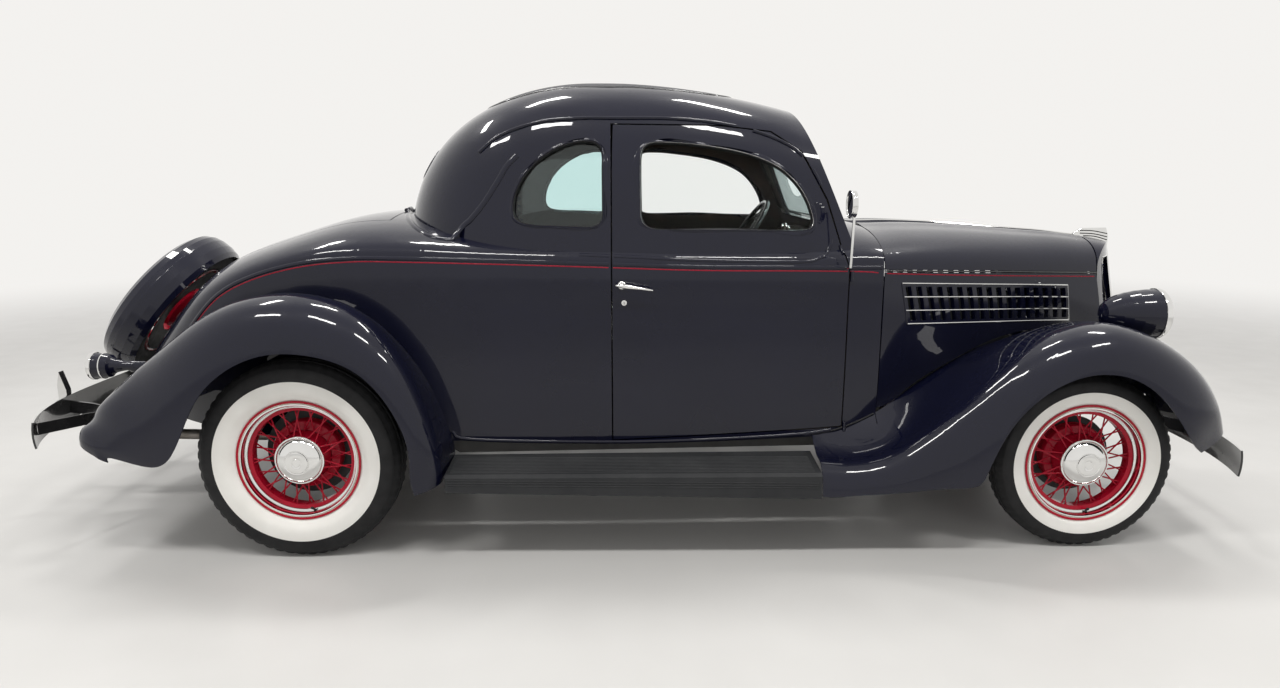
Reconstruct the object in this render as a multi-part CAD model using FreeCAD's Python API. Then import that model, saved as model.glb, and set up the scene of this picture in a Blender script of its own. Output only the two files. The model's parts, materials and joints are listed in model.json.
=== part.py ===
import FreeCAD, Part
import math
import os

# Closed five-window coupe of the mid-thirties, 1:1, millimetres, +Z up.
# Shapes are drawn with X measured forward from the rear axle, Y to the car's left, Z from the
# floor. On export they move so that the origin is under the middle of the overall length.

V = FreeCAD.Vector

# Driving dimensions
wheelbase = 2845.0
nose_x = 3520.0
tail_x = -1150.0
track_front = 1410.0
track_rear = 1480.0
gap = 5.0               # seam round every moving panel
seat = 0.3              # clearance where one piece seats on another
skin_t = 4.0            # pressed steel skins
run_fit = 0.05          # radial clearance of shafts
pin_fit = 0.15          # radial clearance of the king pins
lining = 0.8            # clearance between curved panels and the pieces inside them
wall_t = 60.0           # body side and door with its lining
roof_t = 34.0

tyre_r_front = 326.0
tyre_r_rear = 362.0
tyre_w_front = 128.0
tyre_w_rear = 154.0
rim_r = 221.0           # outside of the rim flange
rim_seat_r = 203.0
rim_w = 108.0
hub_cap_r = 86.0
spoke_d = 5.5
spoke_count = 40

glass_t = 6.0
glass_in = 18.0         # depth of the glass behind the outer skin
glass_lap = 9.0         # how far glass runs into its channel
hood_x0 = 2108.0        # cowl seam
hood_x1 = 3105.0        # seam to the radiator shell
door_x0 = 1116.0
door_x1 = 1974.0
door_z0 = 394.0
door_front_z0 = 434.0
lid_x0 = -778.0
lid_foot_z = 651.0
lid_x1 = 268.0
lid_w = 410.0
board_x0 = 512.0
board_x1 = 1860.0
screen_foot = V(1990, 0, 1128)
screen_head = V(1824, 0, 1529)
steer_lean = 34.0       # steering column below horizontal, degrees

shift_x = -(nose_x + tail_x) / 2


def blend(table, x):
    """Smooth curve through a table of (x, value)."""
    if x <= table[0][0]:
        return table[0][1]
    if x >= table[-1][0]:
        return table[-1][1]
    k = 0
    while x > table[k + 1][0]:
        k += 1

    def slope(i):
        if i == 0:
            return (table[1][1] - table[0][1]) / (table[1][0] - table[0][0])
        if i == len(table) - 1:
            return (table[i][1] - table[i - 1][1]) / (table[i][0] - table[i - 1][0])
        return (table[i + 1][1] - table[i - 1][1]) / (table[i + 1][0] - table[i - 1][0])

    x0, y0 = table[k]
    x1, y1 = table[k + 1]
    h = x1 - x0
    t = (x - x0) / h
    a = 2 * t ** 3 - 3 * t ** 2 + 1
    b = t ** 3 - 2 * t ** 2 + t
    c = -2 * t ** 3 + 3 * t ** 2
    d = t ** 3 - t ** 2
    return a * y0 + b * h * slope(k) + c * y1 + d * h * slope(k + 1)


def even(a, b, n):
    return [a + (b - a) * k / (n - 1) for k in range(n)]


def power(value, exponent):
    return math.copysign(abs(value) ** exponent, value)


# Body lines along the car
belt_w = [(-800, 300), (-700, 395), (-600, 470), (-450, 548), (-250, 608), (0, 645), (300, 666),
          (700, 674), (1200, 672), (1600, 662), (1974, 641), (2108, 618)]
belt_z = [(-800, 520), (-740, 560), (-614, 668), (-481, 800), (-341, 916), (-173, 993), (0, 1038),
          (186, 1056), (718, 1054), (1500, 1043), (2108, 1030)]
crown_z = [(-800, 622), (-743, 700), (-687, 770), (-599, 862), (-511, 945), (-453, 996),
           (-365, 1052), (-194, 1114), (-24, 1168), (136, 1207), (277, 1217), (700, 1180),
           (1500, 1160), (2000, 1170), (2108, 1166)]
sill_z = [(-800, 476), (-600, 440), (-200, 404), (500, 392), (1088, 378), (1438, 380), (2108, 404)]
hood_crown = [(2108, 1168), (2320, 1168), (2532, 1158), (2754, 1140), (2979, 1122), (3105, 1106)]
hood_foot_z = [(2108, 489), (2225, 546), (2370, 620), (2475, 665), (2560, 700), (2650, 724), (2745, 739),
               (2850, 747), (2965, 740), (3080, 692), (3105, 677)]
tuck = 16.0             # how far the sides lean in towards the sill


def body_side(x, z, inset=0.0):
    """Half width of the body below and round its shoulder."""
    w = blend(belt_w, x) - inset
    zb = blend(belt_z, x)
    zs = blend(sill_z, x)
    t = max(0.0, min(1.0, (z - zs) / (zb - zs)))
    return w - tuck * (1 - t) ** 2 + 6 * math.sin(math.pi * t) * (1 - t)


def spline(points):
    curve = Part.BSplineCurve()
    curve.interpolate(points)
    return curve.toShape()


def ring_spline(points):
    curve = Part.BSplineCurve()
    curve.interpolate(points, True)
    return curve.toShape()


def polygon(points):
    return Part.Wire(Part.makePolygon(points + [points[0]]))


def prism(points, along):
    return Part.Face(polygon(points)).extrude(along)


def box(x0, x1, y0, y1, z0, z1):
    return Part.makeBox(x1 - x0, y1 - y0, z1 - z0, V(x0, y0, z0))


def rounded(shape, r):
    return shape.makeFillet(r, shape.Edges)


def rod(a, b, r):
    d = b - a
    return Part.makeCylinder(r, d.Length, a, d)


def pipe(points, r, bend):
    """Round bar along straight runs with arcs of radius bend."""
    edges = []
    start = points[0]
    for i in range(1, len(points) - 1):
        p = points[i]
        u = (points[i - 1] - p).normalize()
        w = (points[i + 1] - p).normalize()
        half = u.getAngle(w) / 2
        cut = bend / math.tan(half)
        a = p + u * cut
        b = p + w * cut
        mid_dir = (u + w).normalize()
        m = p + mid_dir * (bend / math.sin(half) - bend)
        edges.append(Part.LineSegment(start, a).toShape())
        edges.append(Part.Arc(a, m, b).toShape())
        start = b
    edges.append(Part.LineSegment(start, points[-1]).toShape())
    path = Part.Wire(edges)
    first = (points[1] - points[0]).normalize()
    section = Part.Wire(Part.Circle(points[0], first, r).toShape())
    return path.makePipeShell([section], True, True)


def grid_face(grid):
    surface = Part.BSplineSurface()
    surface.interpolate(grid)
    return surface


def normals(grid):
    n = len(grid)
    m = len(grid[0])
    out = []
    for i in range(n):
        row = []
        for j in range(m):
            du = grid[min(i + 1, n - 1)][j] - grid[max(i - 1, 0)][j]
            dv = grid[i][min(j + 1, m - 1)] - grid[i][max(j - 1, 0)]
            row.append(du.cross(dv).normalize())
        out.append(row)
    return out


def skin(grid, thickness):
    """Sheet of even thickness on a grid of points; thickness grows against the normal."""
    norm = normals(grid)
    inner = [[p - n * thickness for p, n in zip(row, nrow)] for row, nrow in zip(grid, norm)]
    a = grid_face(grid)
    b = grid_face(inner)
    u0, u1, v0, v1 = a.bounds()
    faces = [a.toShape(), b.toShape()]
    for ca, cb in ((a.uIso(u0), b.uIso(u0)), (a.uIso(u1), b.uIso(u1)),
                   (a.vIso(v0), b.vIso(v0)), (a.vIso(v1), b.vIso(v1))):
        faces.append(Part.makeRuledSurface(ca.toShape(), cb.toShape()))
    return closed(faces)


def closed(faces):
    shell = Part.makeShell(faces)
    shell.sewShape()
    solid = Part.makeSolid(shell)
    if solid.Volume < 0:
        solid.reverse()
    return solid


def mirrored(shape):
    return shape.mirror(V(0, 0, 0), V(0, 1, 0))


def both(shape):
    return Part.makeCompound([shape, mirrored(shape)])


def solids(*shapes):
    found = []
    for s in shapes:
        found += s.Solids
    return Part.makeCompound(found) if len(found) > 1 else found[0]


def fused(first, *rest):
    return first.fuse(list(rest)).removeSplitter()


def save(name, shape):
    moved = shape.copy()
    moved.translate(V(shift_x, 0, 0))
    moved.exportStep("parts/" + name + ".step")
    b = moved.BoundBox
    print("%-20s solids %2d valid %s  x %6.0f %6.0f  y %5.0f %5.0f  z %5.0f %5.0f" % (
        name, len(moved.Solids), moved.isValid(), b.XMin, b.XMax, b.YMin, b.YMax, b.ZMin, b.ZMax))


# Body shell

def body_section(x, inset=0.0, drop=0.0, lower=0.0):
    """Closed wire across the lower body at one station."""
    zs = blend(sill_z, x) - lower
    zb = blend(belt_z, x)
    zt = blend(crown_z, x) - drop
    w = blend(belt_w, x) - inset
    side = []
    for k in range(5):
        z = zs + (zb - zs) * k / 5
        side.append(V(x, body_side(x, z, inset), z))
    crown = []
    for k in range(0, 8):
        a = math.radians(90 * k / 8)
        crown.append(V(x, w * power(math.cos(a), 0.8), zb + (zt - zb) * power(math.sin(a), 0.85)))
    half = side + crown
    other = [V(p.x, -p.y, p.z) for p in reversed(half)]
    points = half + [V(x, 0, zt)] + other
    top = spline(points)
    foot = Part.LineSegment(points[-1], points[0]).toShape()
    return Part.Wire([top, foot])


def lower_body(inset=0.0, drop=0.0, lower=0.0, x0=-800.0, x1=2108.0):
    stations = [-800, -740, -660, -560, -440, -300, -120, 100, 350, 700, 1150, 1600, 1900, 2108]
    inside = [x for x in stations if x0 + 30 < x < x1 - 30]
    wires = [body_section(x, inset, drop, lower) for x in [x0] + inside + [x1]]
    return Part.makeLoft(wires, True, False)


house_x = 1066.0        # tallest station of the roof
house_z0 = 1000.0
house_top = 1710.0
house_w = 655.0
house_back = 770.0
house_front = 1500.0


def house_ring(level, inset=0.0, drop=0.0):
    """Closed outline of the glasshouse at one height, level 0 at the belt and 1 at the crest."""
    t = max(level, 0.0)
    w = (house_w - inset) * (1 - 0.08 * level) * (1 - t ** 5) ** 0.25
    back = (house_back - inset) * (1 - t ** 2.3) ** (1 / 2.2)
    front = (house_front - inset) * (1 - t ** 2) ** (1 / 1.8)
    z = 1060 + (house_top - drop - 1060) * level
    points = []
    for k in range(48):
        a = math.radians(7.5 * k)
        c, s = math.cos(a), math.sin(a)
        reach = front if c > 0 else back
        points.append(V(house_x + reach * power(c, 2 / 3), w * power(s, 2 / 3), z))
    return Part.Wire(ring_spline(points))


def glasshouse(inset=0.0, drop=0.0, screen=0.0):
    levels = [-0.09, 0.0, 0.15, 0.3, 0.45, 0.6, 0.72, 0.82, 0.9, 0.95, 0.98, 0.994]
    dome = Part.makeLoft([house_ring(t, inset, drop) for t in levels], True, False)
    lean = (screen_head - screen_foot).normalize()
    out = V(lean.z, 0, -lean.x)
    foot = screen_foot - out * screen - lean * 400
    head = screen_foot - out * screen + lean * 900
    front = prism([foot, head, head + V(1200, 0, 0), foot + V(1200, 0, 0)], V(0, 2000, 0))
    front.translate(V(0, -1000, 0))
    return dome.cut(front)


def window_outline(points, y):
    """Closed rounded outline from hand-placed (x, z) points."""
    wire = Part.Wire(ring_spline([V(x, y, z) for x, z in points]))
    return Part.Face(wire)


door_glass_line = [(1206, 1330), (1212, 1440), (1262, 1478), (1420, 1474), (1570, 1452), (1716, 1398),
                   (1806, 1312), (1852, 1208), (1838, 1164), (1700, 1160), (1500, 1163), (1290, 1169),
                   (1216, 1186)]
quarter_line = [(757, 1240), (778, 1325), (846, 1412), (945, 1470), (1040, 1486), (1086, 1460),
                (1090, 1330), (1088, 1196), (1040, 1172), (900, 1178), (800, 1186)]


def grown(points, by):
    """The same outline moved outwards from its middle."""
    cx = sum(p[0] for p in points) / len(points)
    cz = sum(p[1] for p in points) / len(points)
    line = []
    for x, z in points:
        r = math.hypot(x - cx, z - cz)
        line.append((x + (x - cx) / r * by, z + (z - cz) / r * by))
    return line


def side_hole(points):
    return window_outline(points, 380).extrude(V(0, 500, 0))


outer = lower_body().fuse(glasshouse())
inner_low = lower_body(wall_t, 30.0, 60.0, -745.0, 2070.0)
inner_top = glasshouse(46.0, roof_t, 40.0)
shell = outer.cut(inner_low).cut(inner_top)
glass_band = glasshouse(glass_in, glass_in).cut(glasshouse(glass_in + glass_t, glass_in + glass_t))
slot_band = glasshouse(glass_in - lining, glass_in - lining).cut(
    glasshouse(glass_in + glass_t + lining, glass_in + glass_t + lining))


def pane(points):
    return glass_band.common(side_hole(grown(points, glass_lap)))


def glass_slot(points):
    return slot_band.common(side_hole(grown(points, glass_lap + lining)))


def door_line(grow):
    """Outline of the door in side view."""
    return [V(door_x0 + 2 - grow, 0, door_z0 - grow), V(door_x1 + grow, 0, door_front_z0 - grow),
            V(door_x1 + grow, 0, 1030), V(1893 + grow, 0, 1270 + grow),
            V(1800 + grow, 0, 1440 + grow), V(1690 + grow * 0.5, 0, 1512 + grow),
            V(1500, 0, 1532 + grow), V(door_x0 + 2 - grow, 0, 1536 + grow)]


def door_prism(grow):
    shape = prism(door_line(grow), V(0, 500, 0))
    shape.translate(V(0, 420, 0))
    return shape


door_hole = door_prism(gap)
door_blank = shell.common(door_prism(0))
rear_wedge = prism([V(door_x0 - 10, 400, 300), V(door_x0 + 22, 400, 300), V(door_x0 - 10, 760, 300)],
                   V(0, 0, 1400))
door_left = door_blank.cut(rear_wedge).cut(side_hole(door_glass_line)).cut(glass_slot(door_glass_line))
door_glass = pane(door_glass_line)
quarter_glass = pane(quarter_line)
shell = shell.cut(door_hole).cut(mirrored(door_hole))
quarter_hole = side_hole(quarter_line).fuse(glass_slot(quarter_line))
shell = shell.cut(quarter_hole).cut(mirrored(quarter_hole))

# Windscreen opening, flat and square to the leaning screen
screen_lean = (screen_head - screen_foot).normalize()
screen_out = V(screen_lean.z, 0, -screen_lean.x)


def screen_plate(half_foot, half_head, low, high, back, front):
    a = screen_foot + screen_lean * low
    b = screen_foot + screen_lean * high
    points = [a + V(0, -half_foot, 0), a + V(0, half_foot, 0), b + V(0, half_head, 0),
              b + V(0, -half_head, 0)]
    plate = Part.Face(polygon(points)).extrude(screen_out * (front - back))
    plate.translate(screen_out * back)
    edges = [e for e in plate.Edges if abs((e.Vertexes[0].Point - e.Vertexes[1].Point).getAngle(
        screen_out) * 2 / math.pi - 1) > 0.99]
    return plate.makeFillet(45, edges)


screen_hole = screen_plate(528, 470, 72, 392, -80, 60)
screen_glass = screen_plate(540, 482, 60, 404, -26, -20)
shell = shell.cut(screen_hole).cut(screen_plate(541, 483, 59, 405, -26.3, -19.7))

# Rear window: an oval in the back of the glasshouse
rear_half_w = 285.0
rear_half_h = 68.0
rear_mid_z = 1400.0


def rear_oval(by):
    points = []
    for k in range(24):
        a = math.radians(15 * k)
        points.append(V(0, (rear_half_w + by) * power(math.cos(a), 0.7),
                        rear_mid_z + (rear_half_h + by) * power(math.sin(a), 0.7)))
    return Part.Face(Part.Wire(ring_spline(points))).extrude(V(800, 0, 0))


rear_glass = glass_band.common(rear_oval(glass_lap))
shell = shell.cut(rear_oval(0)).cut(slot_band.common(rear_oval(glass_lap + lining)))


# Deck lid in the tail; its lower seam slants so that the lid can lift clear
def lid_prism(grow):
    plan = prism([V(lid_x1 + grow, -lid_w - grow, 500), V(lid_x1 + grow, lid_w + grow, 500),
                  V(-200, lid_w - 10 + grow, 500), V(-690, lid_w - 120 + grow, 500),
                  V(-900, lid_w - 200 + grow, 500), V(-900, -lid_w + 200 - grow, 500),
                  V(-690, -lid_w + 120 - grow, 500), V(-200, -lid_w + 10 - grow, 500)], V(0, 0, 1000))
    slant = V(-0.6, 0, 0.8)
    foot = V(lid_x0, 0, lid_foot_z) - V(0.8, 0, 0.6) * grow
    low = foot - slant * 160
    side = prism([low, foot + slant * 200, V(lid_x1 + 100, 0, 1600), V(lid_x1 + 100, 0, low.z)],
                 V(0, 1000, 0))
    side.translate(V(0, -500, 0))
    return plan.common(side)


deck_lid = shell.common(lid_prism(0))
shell = shell.cut(lid_prism(gap))

# Two hinge barrels on the body, round the line that the lid turns about
lid_axis_x = lid_x1 + gap + 2.0
lid_axis_z = 1219.0
barrel_y = 150.0
barrel_len = 60.0
barrels = []
for y in (-barrel_y, barrel_y):
    a = V(lid_axis_x, y - barrel_len / 2, lid_axis_z)
    b = V(lid_axis_x, y + barrel_len / 2, lid_axis_z)
    room = deck_lid.distToShape(Part.LineSegment(a, b).toShape())[0]
    barrels.append(rod(a, b, room - seat))
shell = shell.fuse(barrels)

# Wheel houses let into the sides over the rear tyres
well = Part.makeCylinder(tyre_r_rear + 60, 200, V(0, 625, tyre_r_rear), V(0, 1, 0))
shell = shell.cut(well).cut(mirrored(well))


# Floor: front pan low between the sills, rear pan stepped up over the axle
rail_half_h = 42.0
floor_z = 345.0 + rail_half_h + seat
floor_t = 12.0
trunk_z = 520.0 + rail_half_h + seat
step_x = 560.0
cabin_back = -745.0
cabin_front = 2070.0
inner_fit = lower_body(wall_t + lining, 30.0 + lining, 60.0, cabin_back, cabin_front)
inner_fit = inner_fit.common(box(cabin_back + seat, cabin_front - seat, -700, 700, 0, 1500))
front_pan = box(step_x, 2100, -700, 700, floor_z, floor_z + floor_t)
rear_pan = box(-800, step_x + floor_t, -700, 700, trunk_z, trunk_z + floor_t)
riser = box(step_x, step_x + floor_t, -700, 700, floor_z, trunk_z + floor_t)
seat_box_z = 590.0
seat_box = box(1010, 1440, -560, 560, floor_z, seat_box_z)
near_door = box(door_x0 - gap, door_x1 + gap, -700, 700, 300, 1500).cut(lower_body(wall_t + gap + 1, 20.0, 90.0))
floor_pan = inner_fit.common(fused(front_pan, rear_pan, riser, seat_box)).cut(near_door)

# Steering column line, from the box on the frame up to the wheel
column_top = V(1740, 340, 1062)
column_dir = V(math.cos(math.radians(steer_lean)), 0, -math.sin(math.radians(steer_lean)))
column_r = 19.0
column_end = column_top + column_dir * 700
column_hole = rod(column_top - column_dir * 10, column_top + column_dir * 900, column_r + 4)
shell = shell.cut(column_hole)
shaft_r = 11.0
column = rod(column_top + column_dir * 14, column_end, column_r)
column = fused(column, rod(column_top - column_dir * 22, column_top + column_dir * 40, shaft_r))
wheel_mid = column_top - column_dir * 6
steer_rim_r = 192.0
rim_ring = Part.makeTorus(steer_rim_r, 11.0, column_top - column_dir * 26, column_dir)
wheel_hub = rod(wheel_mid - column_dir * 28, wheel_mid + column_dir * 14, 30.0)
cross_dir = V(0, 1, 0)
up_dir = column_dir.cross(cross_dir)
wheel_arms = []
for turn in (90, 210, 330):
    a = math.radians(turn)
    arm_dir = cross_dir * math.cos(a) + up_dir * math.sin(a)
    wheel_arms.append(rod(wheel_mid - column_dir * 6 + arm_dir * 18,
                          column_top - column_dir * 26 + arm_dir * steer_rim_r, 6.0))
steering_wheel = wheel_hub.fuse([rim_ring] + wheel_arms)
steering_wheel = steering_wheel.cut(rod(column_top - column_dir * 22, column_top + column_dir * 40,
                                        shaft_r + run_fit))

# Instrument panel across the cowl
dash_cut = box(1905, 1950, -700, 700, 955, 1140)
dash_hole = rod(column_top, column_end, column_r + seat)
dashboard = inner_fit.common(dash_cut).cut(near_door).cut(dash_hole)

# Bench seat: cushion on the boxed floor, back leaning behind it
cushion = rounded(box(1000, 1480, -570, 570, seat_box_z + seat, 735), 40)
back = prism([V(860, 0, 600), V(1005, 0, 600), V(930, 0, 1140), V(830, 0, 1140)], V(0, 1140, 0))
back.translate(V(0, -570, 0))
back = rounded(back, 35)

# Roof insert: the fabric panel let into the steel roof
insert_t = 9.0
insert_proud = 3.0


def insert_plan(by):
    points = []
    for k in range(48):
        a = math.radians(7.5 * k)
        points.append(V(1105 + (480 + by) * power(math.cos(a), 0.45),
                        (400 + by) * power(math.sin(a), 0.45), 1400))
    return Part.Face(Part.Wire(ring_spline(points))).extrude(V(0, 0, 500))


roof_floor = glasshouse(0, insert_t + lining)
roof_insert = glasshouse(0, -insert_proud).cut(glasshouse(0, insert_t)).common(insert_plan(0))
shell = shell.cut(insert_plan(lining).cut(roof_floor))


# Hood: two tops hinged along the middle, two louvred sides hinged on the tops
def hood_edge(x):
    t = (x - hood_x0) / (hood_x1 - hood_x0)
    return V(x, hood_w0 + (hood_w1 - hood_w0) * t, hood_z0 + (hood_z1 - hood_z0) * t)


def hood_row(x, low, high, n, lift=0.0):
    """Crown line at one station, from angle low at the side edge to high near the middle."""
    edge = hood_edge(x)
    zt = blend(hood_crown, x) + lift
    row = []
    for a in even(low, high, n):
        row.append(V(x, edge.y * power(math.cos(a), 0.8),
                     edge.z + (zt - edge.z) * power(math.sin(a), 0.85)))
    return row


hood_tuck = 22.0
shell_rake = 0.21       # lean of the radiator shell and the hood's front seam
hood_w0, hood_w1 = 618.0, 232.0
hood_z0, hood_z1 = 1016.0, 965.0
hinge_half = 8.0
hood_xs = even(hood_x0 + gap, hood_x1 - gap, 9)


def top_row(x):
    edge = hood_edge(x)
    middle = math.acos(((hinge_half + seat) / edge.y) ** 1.25)
    return hood_row(x, math.radians(1.2), middle, 10)


hood_top = skin([top_row(x) for x in hood_xs], -skin_t)


def side_row(x):
    edge = hood_edge(x)
    share = (x - hood_x0) / (hood_x1 - hood_x0)
    foot = blend(hood_foot_z, x) + gap
    for turn in range(3):
        foot = blend(hood_foot_z, x + share * max(0.0, hood_z1 - foot) * shell_rake) + gap
    row = []
    for t in even(0.0, 1.0, 7):
        z = edge.z - 4.0 - (edge.z - 4.0 - foot) * t
        lean = share * max(0.0, hood_z1 - z) * shell_rake
        row.append(V(x + lean, edge.y - hood_tuck * t * t + 5 * math.sin(math.pi * t), z))
    return row


side_rows = [side_row(x) for x in hood_xs]
hood_side = skin(side_rows, skin_t)

# Louvres: slanted slots, each with a blade that turns in from its front edge
louvre_count = 17
louvre_slot = 27.0
louvre_in = 15.0        # how far the blades reach behind the outer skin
louvre_top = (V(2192, 0, 956), V(2954, 0, 911))
louvre_foot = (V(2224, 0, 826), V(2980, 0, 789))
blade_lap = 5.0


def louvre_at(share):
    top = louvre_top[0] + (louvre_top[1] - louvre_top[0]) * share
    foot = louvre_foot[0] + (louvre_foot[1] - louvre_foot[0]) * share
    return top, foot


def side_y(x):
    return hood_edge(x).y - 2.0


slots = []
blades = []
louvre_band = skin(side_rows, louvre_in)
for k in range(louvre_count):
    top, foot = louvre_at((k + 0.5) / louvre_count)
    w = V(louvre_slot / 2, 0, 0)
    slots.append(prism([top - w, top + w, foot + w, foot - w], V(0, 700, 0)))
    rings = []
    for p, lap in ((top, blade_lap), (foot, -blade_lap)):
        near = V(p.x + louvre_slot / 2 + 1.5, side_y(p.x) + 8, p.z + lap)
        far = V(p.x - louvre_slot / 2 + 3, side_y(p.x) - louvre_in - 12, p.z + lap)
        rings.append(polygon([near, near + V(3, 0, 0), far + V(3, 0, 0), far]))
    blades.append(louvre_band.common(Part.makeLoft(rings, True, True)))
hood_side = hood_side.cut(slots).fuse(blades)

# Middle hinge strip with a low fin at its front end
strip = []
for x in even(hood_x0 + seat, hood_x1 - seat, 9):
    z = blend(hood_crown, x)
    strip.append([V(x, y, z + 5.0 - 4.0 * (y / hinge_half) ** 2) for y in even(-hinge_half, hinge_half, 5)])
hood_hinge = skin(strip, 7.0)

# Radiator shell with its pointed front
shell_low = 430.0
shell_z = [shell_low, 560.0, 700.0, 840.0, 965.0, 1060.0, 1140.0]
shell_w = [(430, 138), (560, 168), (700, 194), (840, 216), (965, 232), (1140, 226)]
prow_top = V(3246, 0, 1112)


def prow_ring(z, inset=0.0):
    back = hood_x1 + max(0.0, 965 - z) * shell_rake
    tip = prow_top.x + (prow_top.z - z) * shell_rake - inset * 1.35
    w = blend(shell_w, z) - inset
    right = [V(back + (tip - back) * (1 - s) + 64 * s * (1 - s), w * s, z) for s in even(0.0, 1.0, 8)]
    left = [V(p.x, -p.y, z) for p in reversed(right)]
    return Part.Wire([spline(left), spline(right), Part.LineSegment(right[-1], left[0]).toShape()])


def prow_loft(inset=0.0, low=430.0, high=1140.0):
    zs = [low] + [z for z in shell_z if low + 20 < z < high - 20] + [high]
    return Part.makeLoft([prow_ring(z, inset) for z in zs], True, False)


def nose_section(x, drop=0.0):
    zt = blend([(3000, 1120), (3105, 1106), (3180, 1094), (3260, 1062), (3330, 1000)], x) - drop
    w = 236.0 - drop
    crown = [V(x, w * power(math.cos(a), 0.8), 965 + (zt - 965) * power(math.sin(a), 0.85))
             for a in even(0.0, math.pi / 2, 8)]
    half = [V(x, w, 400), V(x, w, 700)] + crown
    points = half + [V(x, -p.y, p.z) for p in reversed(half[:-1])]
    return Part.Wire([spline(points), Part.LineSegment(points[-1], points[0]).toShape()])


def nose_loft(drop=0.0, x0=3000.0):
    return Part.makeLoft([nose_section(x, drop) for x in (x0, 3105, 3180, 3260, 3330, 3420)],
                         True, False)


def prow_side(z0, z1, front, back):
    """Side-view prism that opens the grille on both sides of the prow."""
    def at(z, f, b):
        rear = hood_x1 + max(0.0, 965 - z) * shell_rake + b
        tip = prow_top.x + (prow_top.z - z) * shell_rake - f
        return rear, tip
    r0, t0 = at(z0, front, back)
    r1, t1 = at(z1, front, back)
    shape = prism([V(r0, 0, z0), V(t0, 0, z0), V(t1, 0, z1), V(r1, 0, z1)], V(0, 600, 0))
    shape.translate(V(0, 7, 0))
    return shape


prow = prow_loft().common(nose_loft())
prow_inner = prow_loft(16.0, 400.0).common(nose_loft(14.0))
prow_inner.translate(V(-4, 0, 0))
grille_hole = prow_side(486.0, 1022.0, 16.0, 40.0)
grille_shell = prow.cut(prow_inner).cut(grille_hole).cut(mirrored(grille_hole))

# Low streamlined fin on the shell's crown
fin_half = 7.0
fin_line = [V(hood_x1 + 2, 0, 1080), V(hood_x1 + 2, 0, 1112), V(3140, 0, 1134), V(3250, 0, 1136),
            V(3262, 0, 1100), V(3262, 0, 1060)]
fin = prism(fin_line, V(0, 2 * fin_half, 0))
fin.translate(V(0, -fin_half, 0))
fin = fin.makeFillet(3.0, [e for e in fin.Edges if abs(e.BoundBox.YLength) < 0.01])
fin_floor = prow.copy()
fin_floor.translate(V(0, 0, seat))
fin = max(fin.cut(fin_floor).Solids, key=lambda piece: piece.Volume)


def prow_point(s, z, inset):
    back = hood_x1 + max(0.0, 965 - z) * shell_rake
    tip = prow_top.x + (prow_top.z - z) * shell_rake
    x = back + (tip - back) * (1 - s) + 64 * s * (1 - s)
    return V(x - inset, blend(shell_w, z) * s, z)


grille_in = 36.5
bar_w = 6.0
bar_d = 14.0
bars = []
for k in range(1, 13):
    s = k / 14.5
    rings = []
    for z in (474.0, 1030.0):
        p = prow_point(s, z, grille_in)
        rings.append(polygon([p + V(0, -bar_w / 2, 0), p + V(0, bar_w / 2, 0), p + V(-bar_d, bar_w / 2, 0),
                              p + V(-bar_d, -bar_w / 2, 0)]))
    bars.append(Part.makeLoft(rings, True, True))
rails = []
for z in (474.0, 748.0, 1022.0):
    line = [prow_point(s, z, grille_in + 3.0) for s in even(0.0, 0.86, 9)]
    line = [V(line[0].x, -1, z)] + line[1:]
    behind = [p - V(bar_d - 6, 0, 0) for p in reversed(line)]
    rails.append(prism(line + behind, V(0, 0, 8)))
half_grille = bars[0].fuse(bars[1:] + rails)
grille = half_grille.fuse(mirrored(half_grille))

rib_points = 14


def spaced(line, n):
    """The same line as n points at equal steps along it."""
    reach = [0.0]
    for p, q in zip(line, line[1:]):
        reach.append(reach[-1] + (q - p).Length)
    out = []
    k = 0
    for want in even(0.0, reach[-1], n):
        while k < len(line) - 2 and reach[k + 1] < want:
            k += 1
        t = (want - reach[k]) / (reach[k + 1] - reach[k])
        out.append(line[k] + (line[k + 1] - line[k]) * min(t, 1.0))
    return out


# Fenders: skins through ribs, each from the body joint over the crest to the outer lip
def rib(station, inner_y):
    joint, crest, lip = station
    a = V(joint[0], inner_y(joint[0], joint[1]), joint[1])
    b = V(crest[0], crest[1], crest[2])
    c = V(lip[0], lip[1], lip[2])
    row = []
    for t in even(0.0, 1.0, 31)[:-1]:
        rise = math.sin(t * math.pi / 2)
        row.append(V(a.x + (b.x - a.x) * t, a.y + (b.y - a.y) * t, a.z + (b.z - a.z) * rise))
    for t in even(0.0, math.pi / 2, 31):
        out = power(math.sin(t), 0.9)
        fall = 1 - power(math.cos(t), 0.9)
        row.append(V(b.x + (c.x - b.x) * fall, b.y + (c.y - b.y) * out, b.z + (c.z - b.z) * fall))
    return spaced(row, rib_points)


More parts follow.
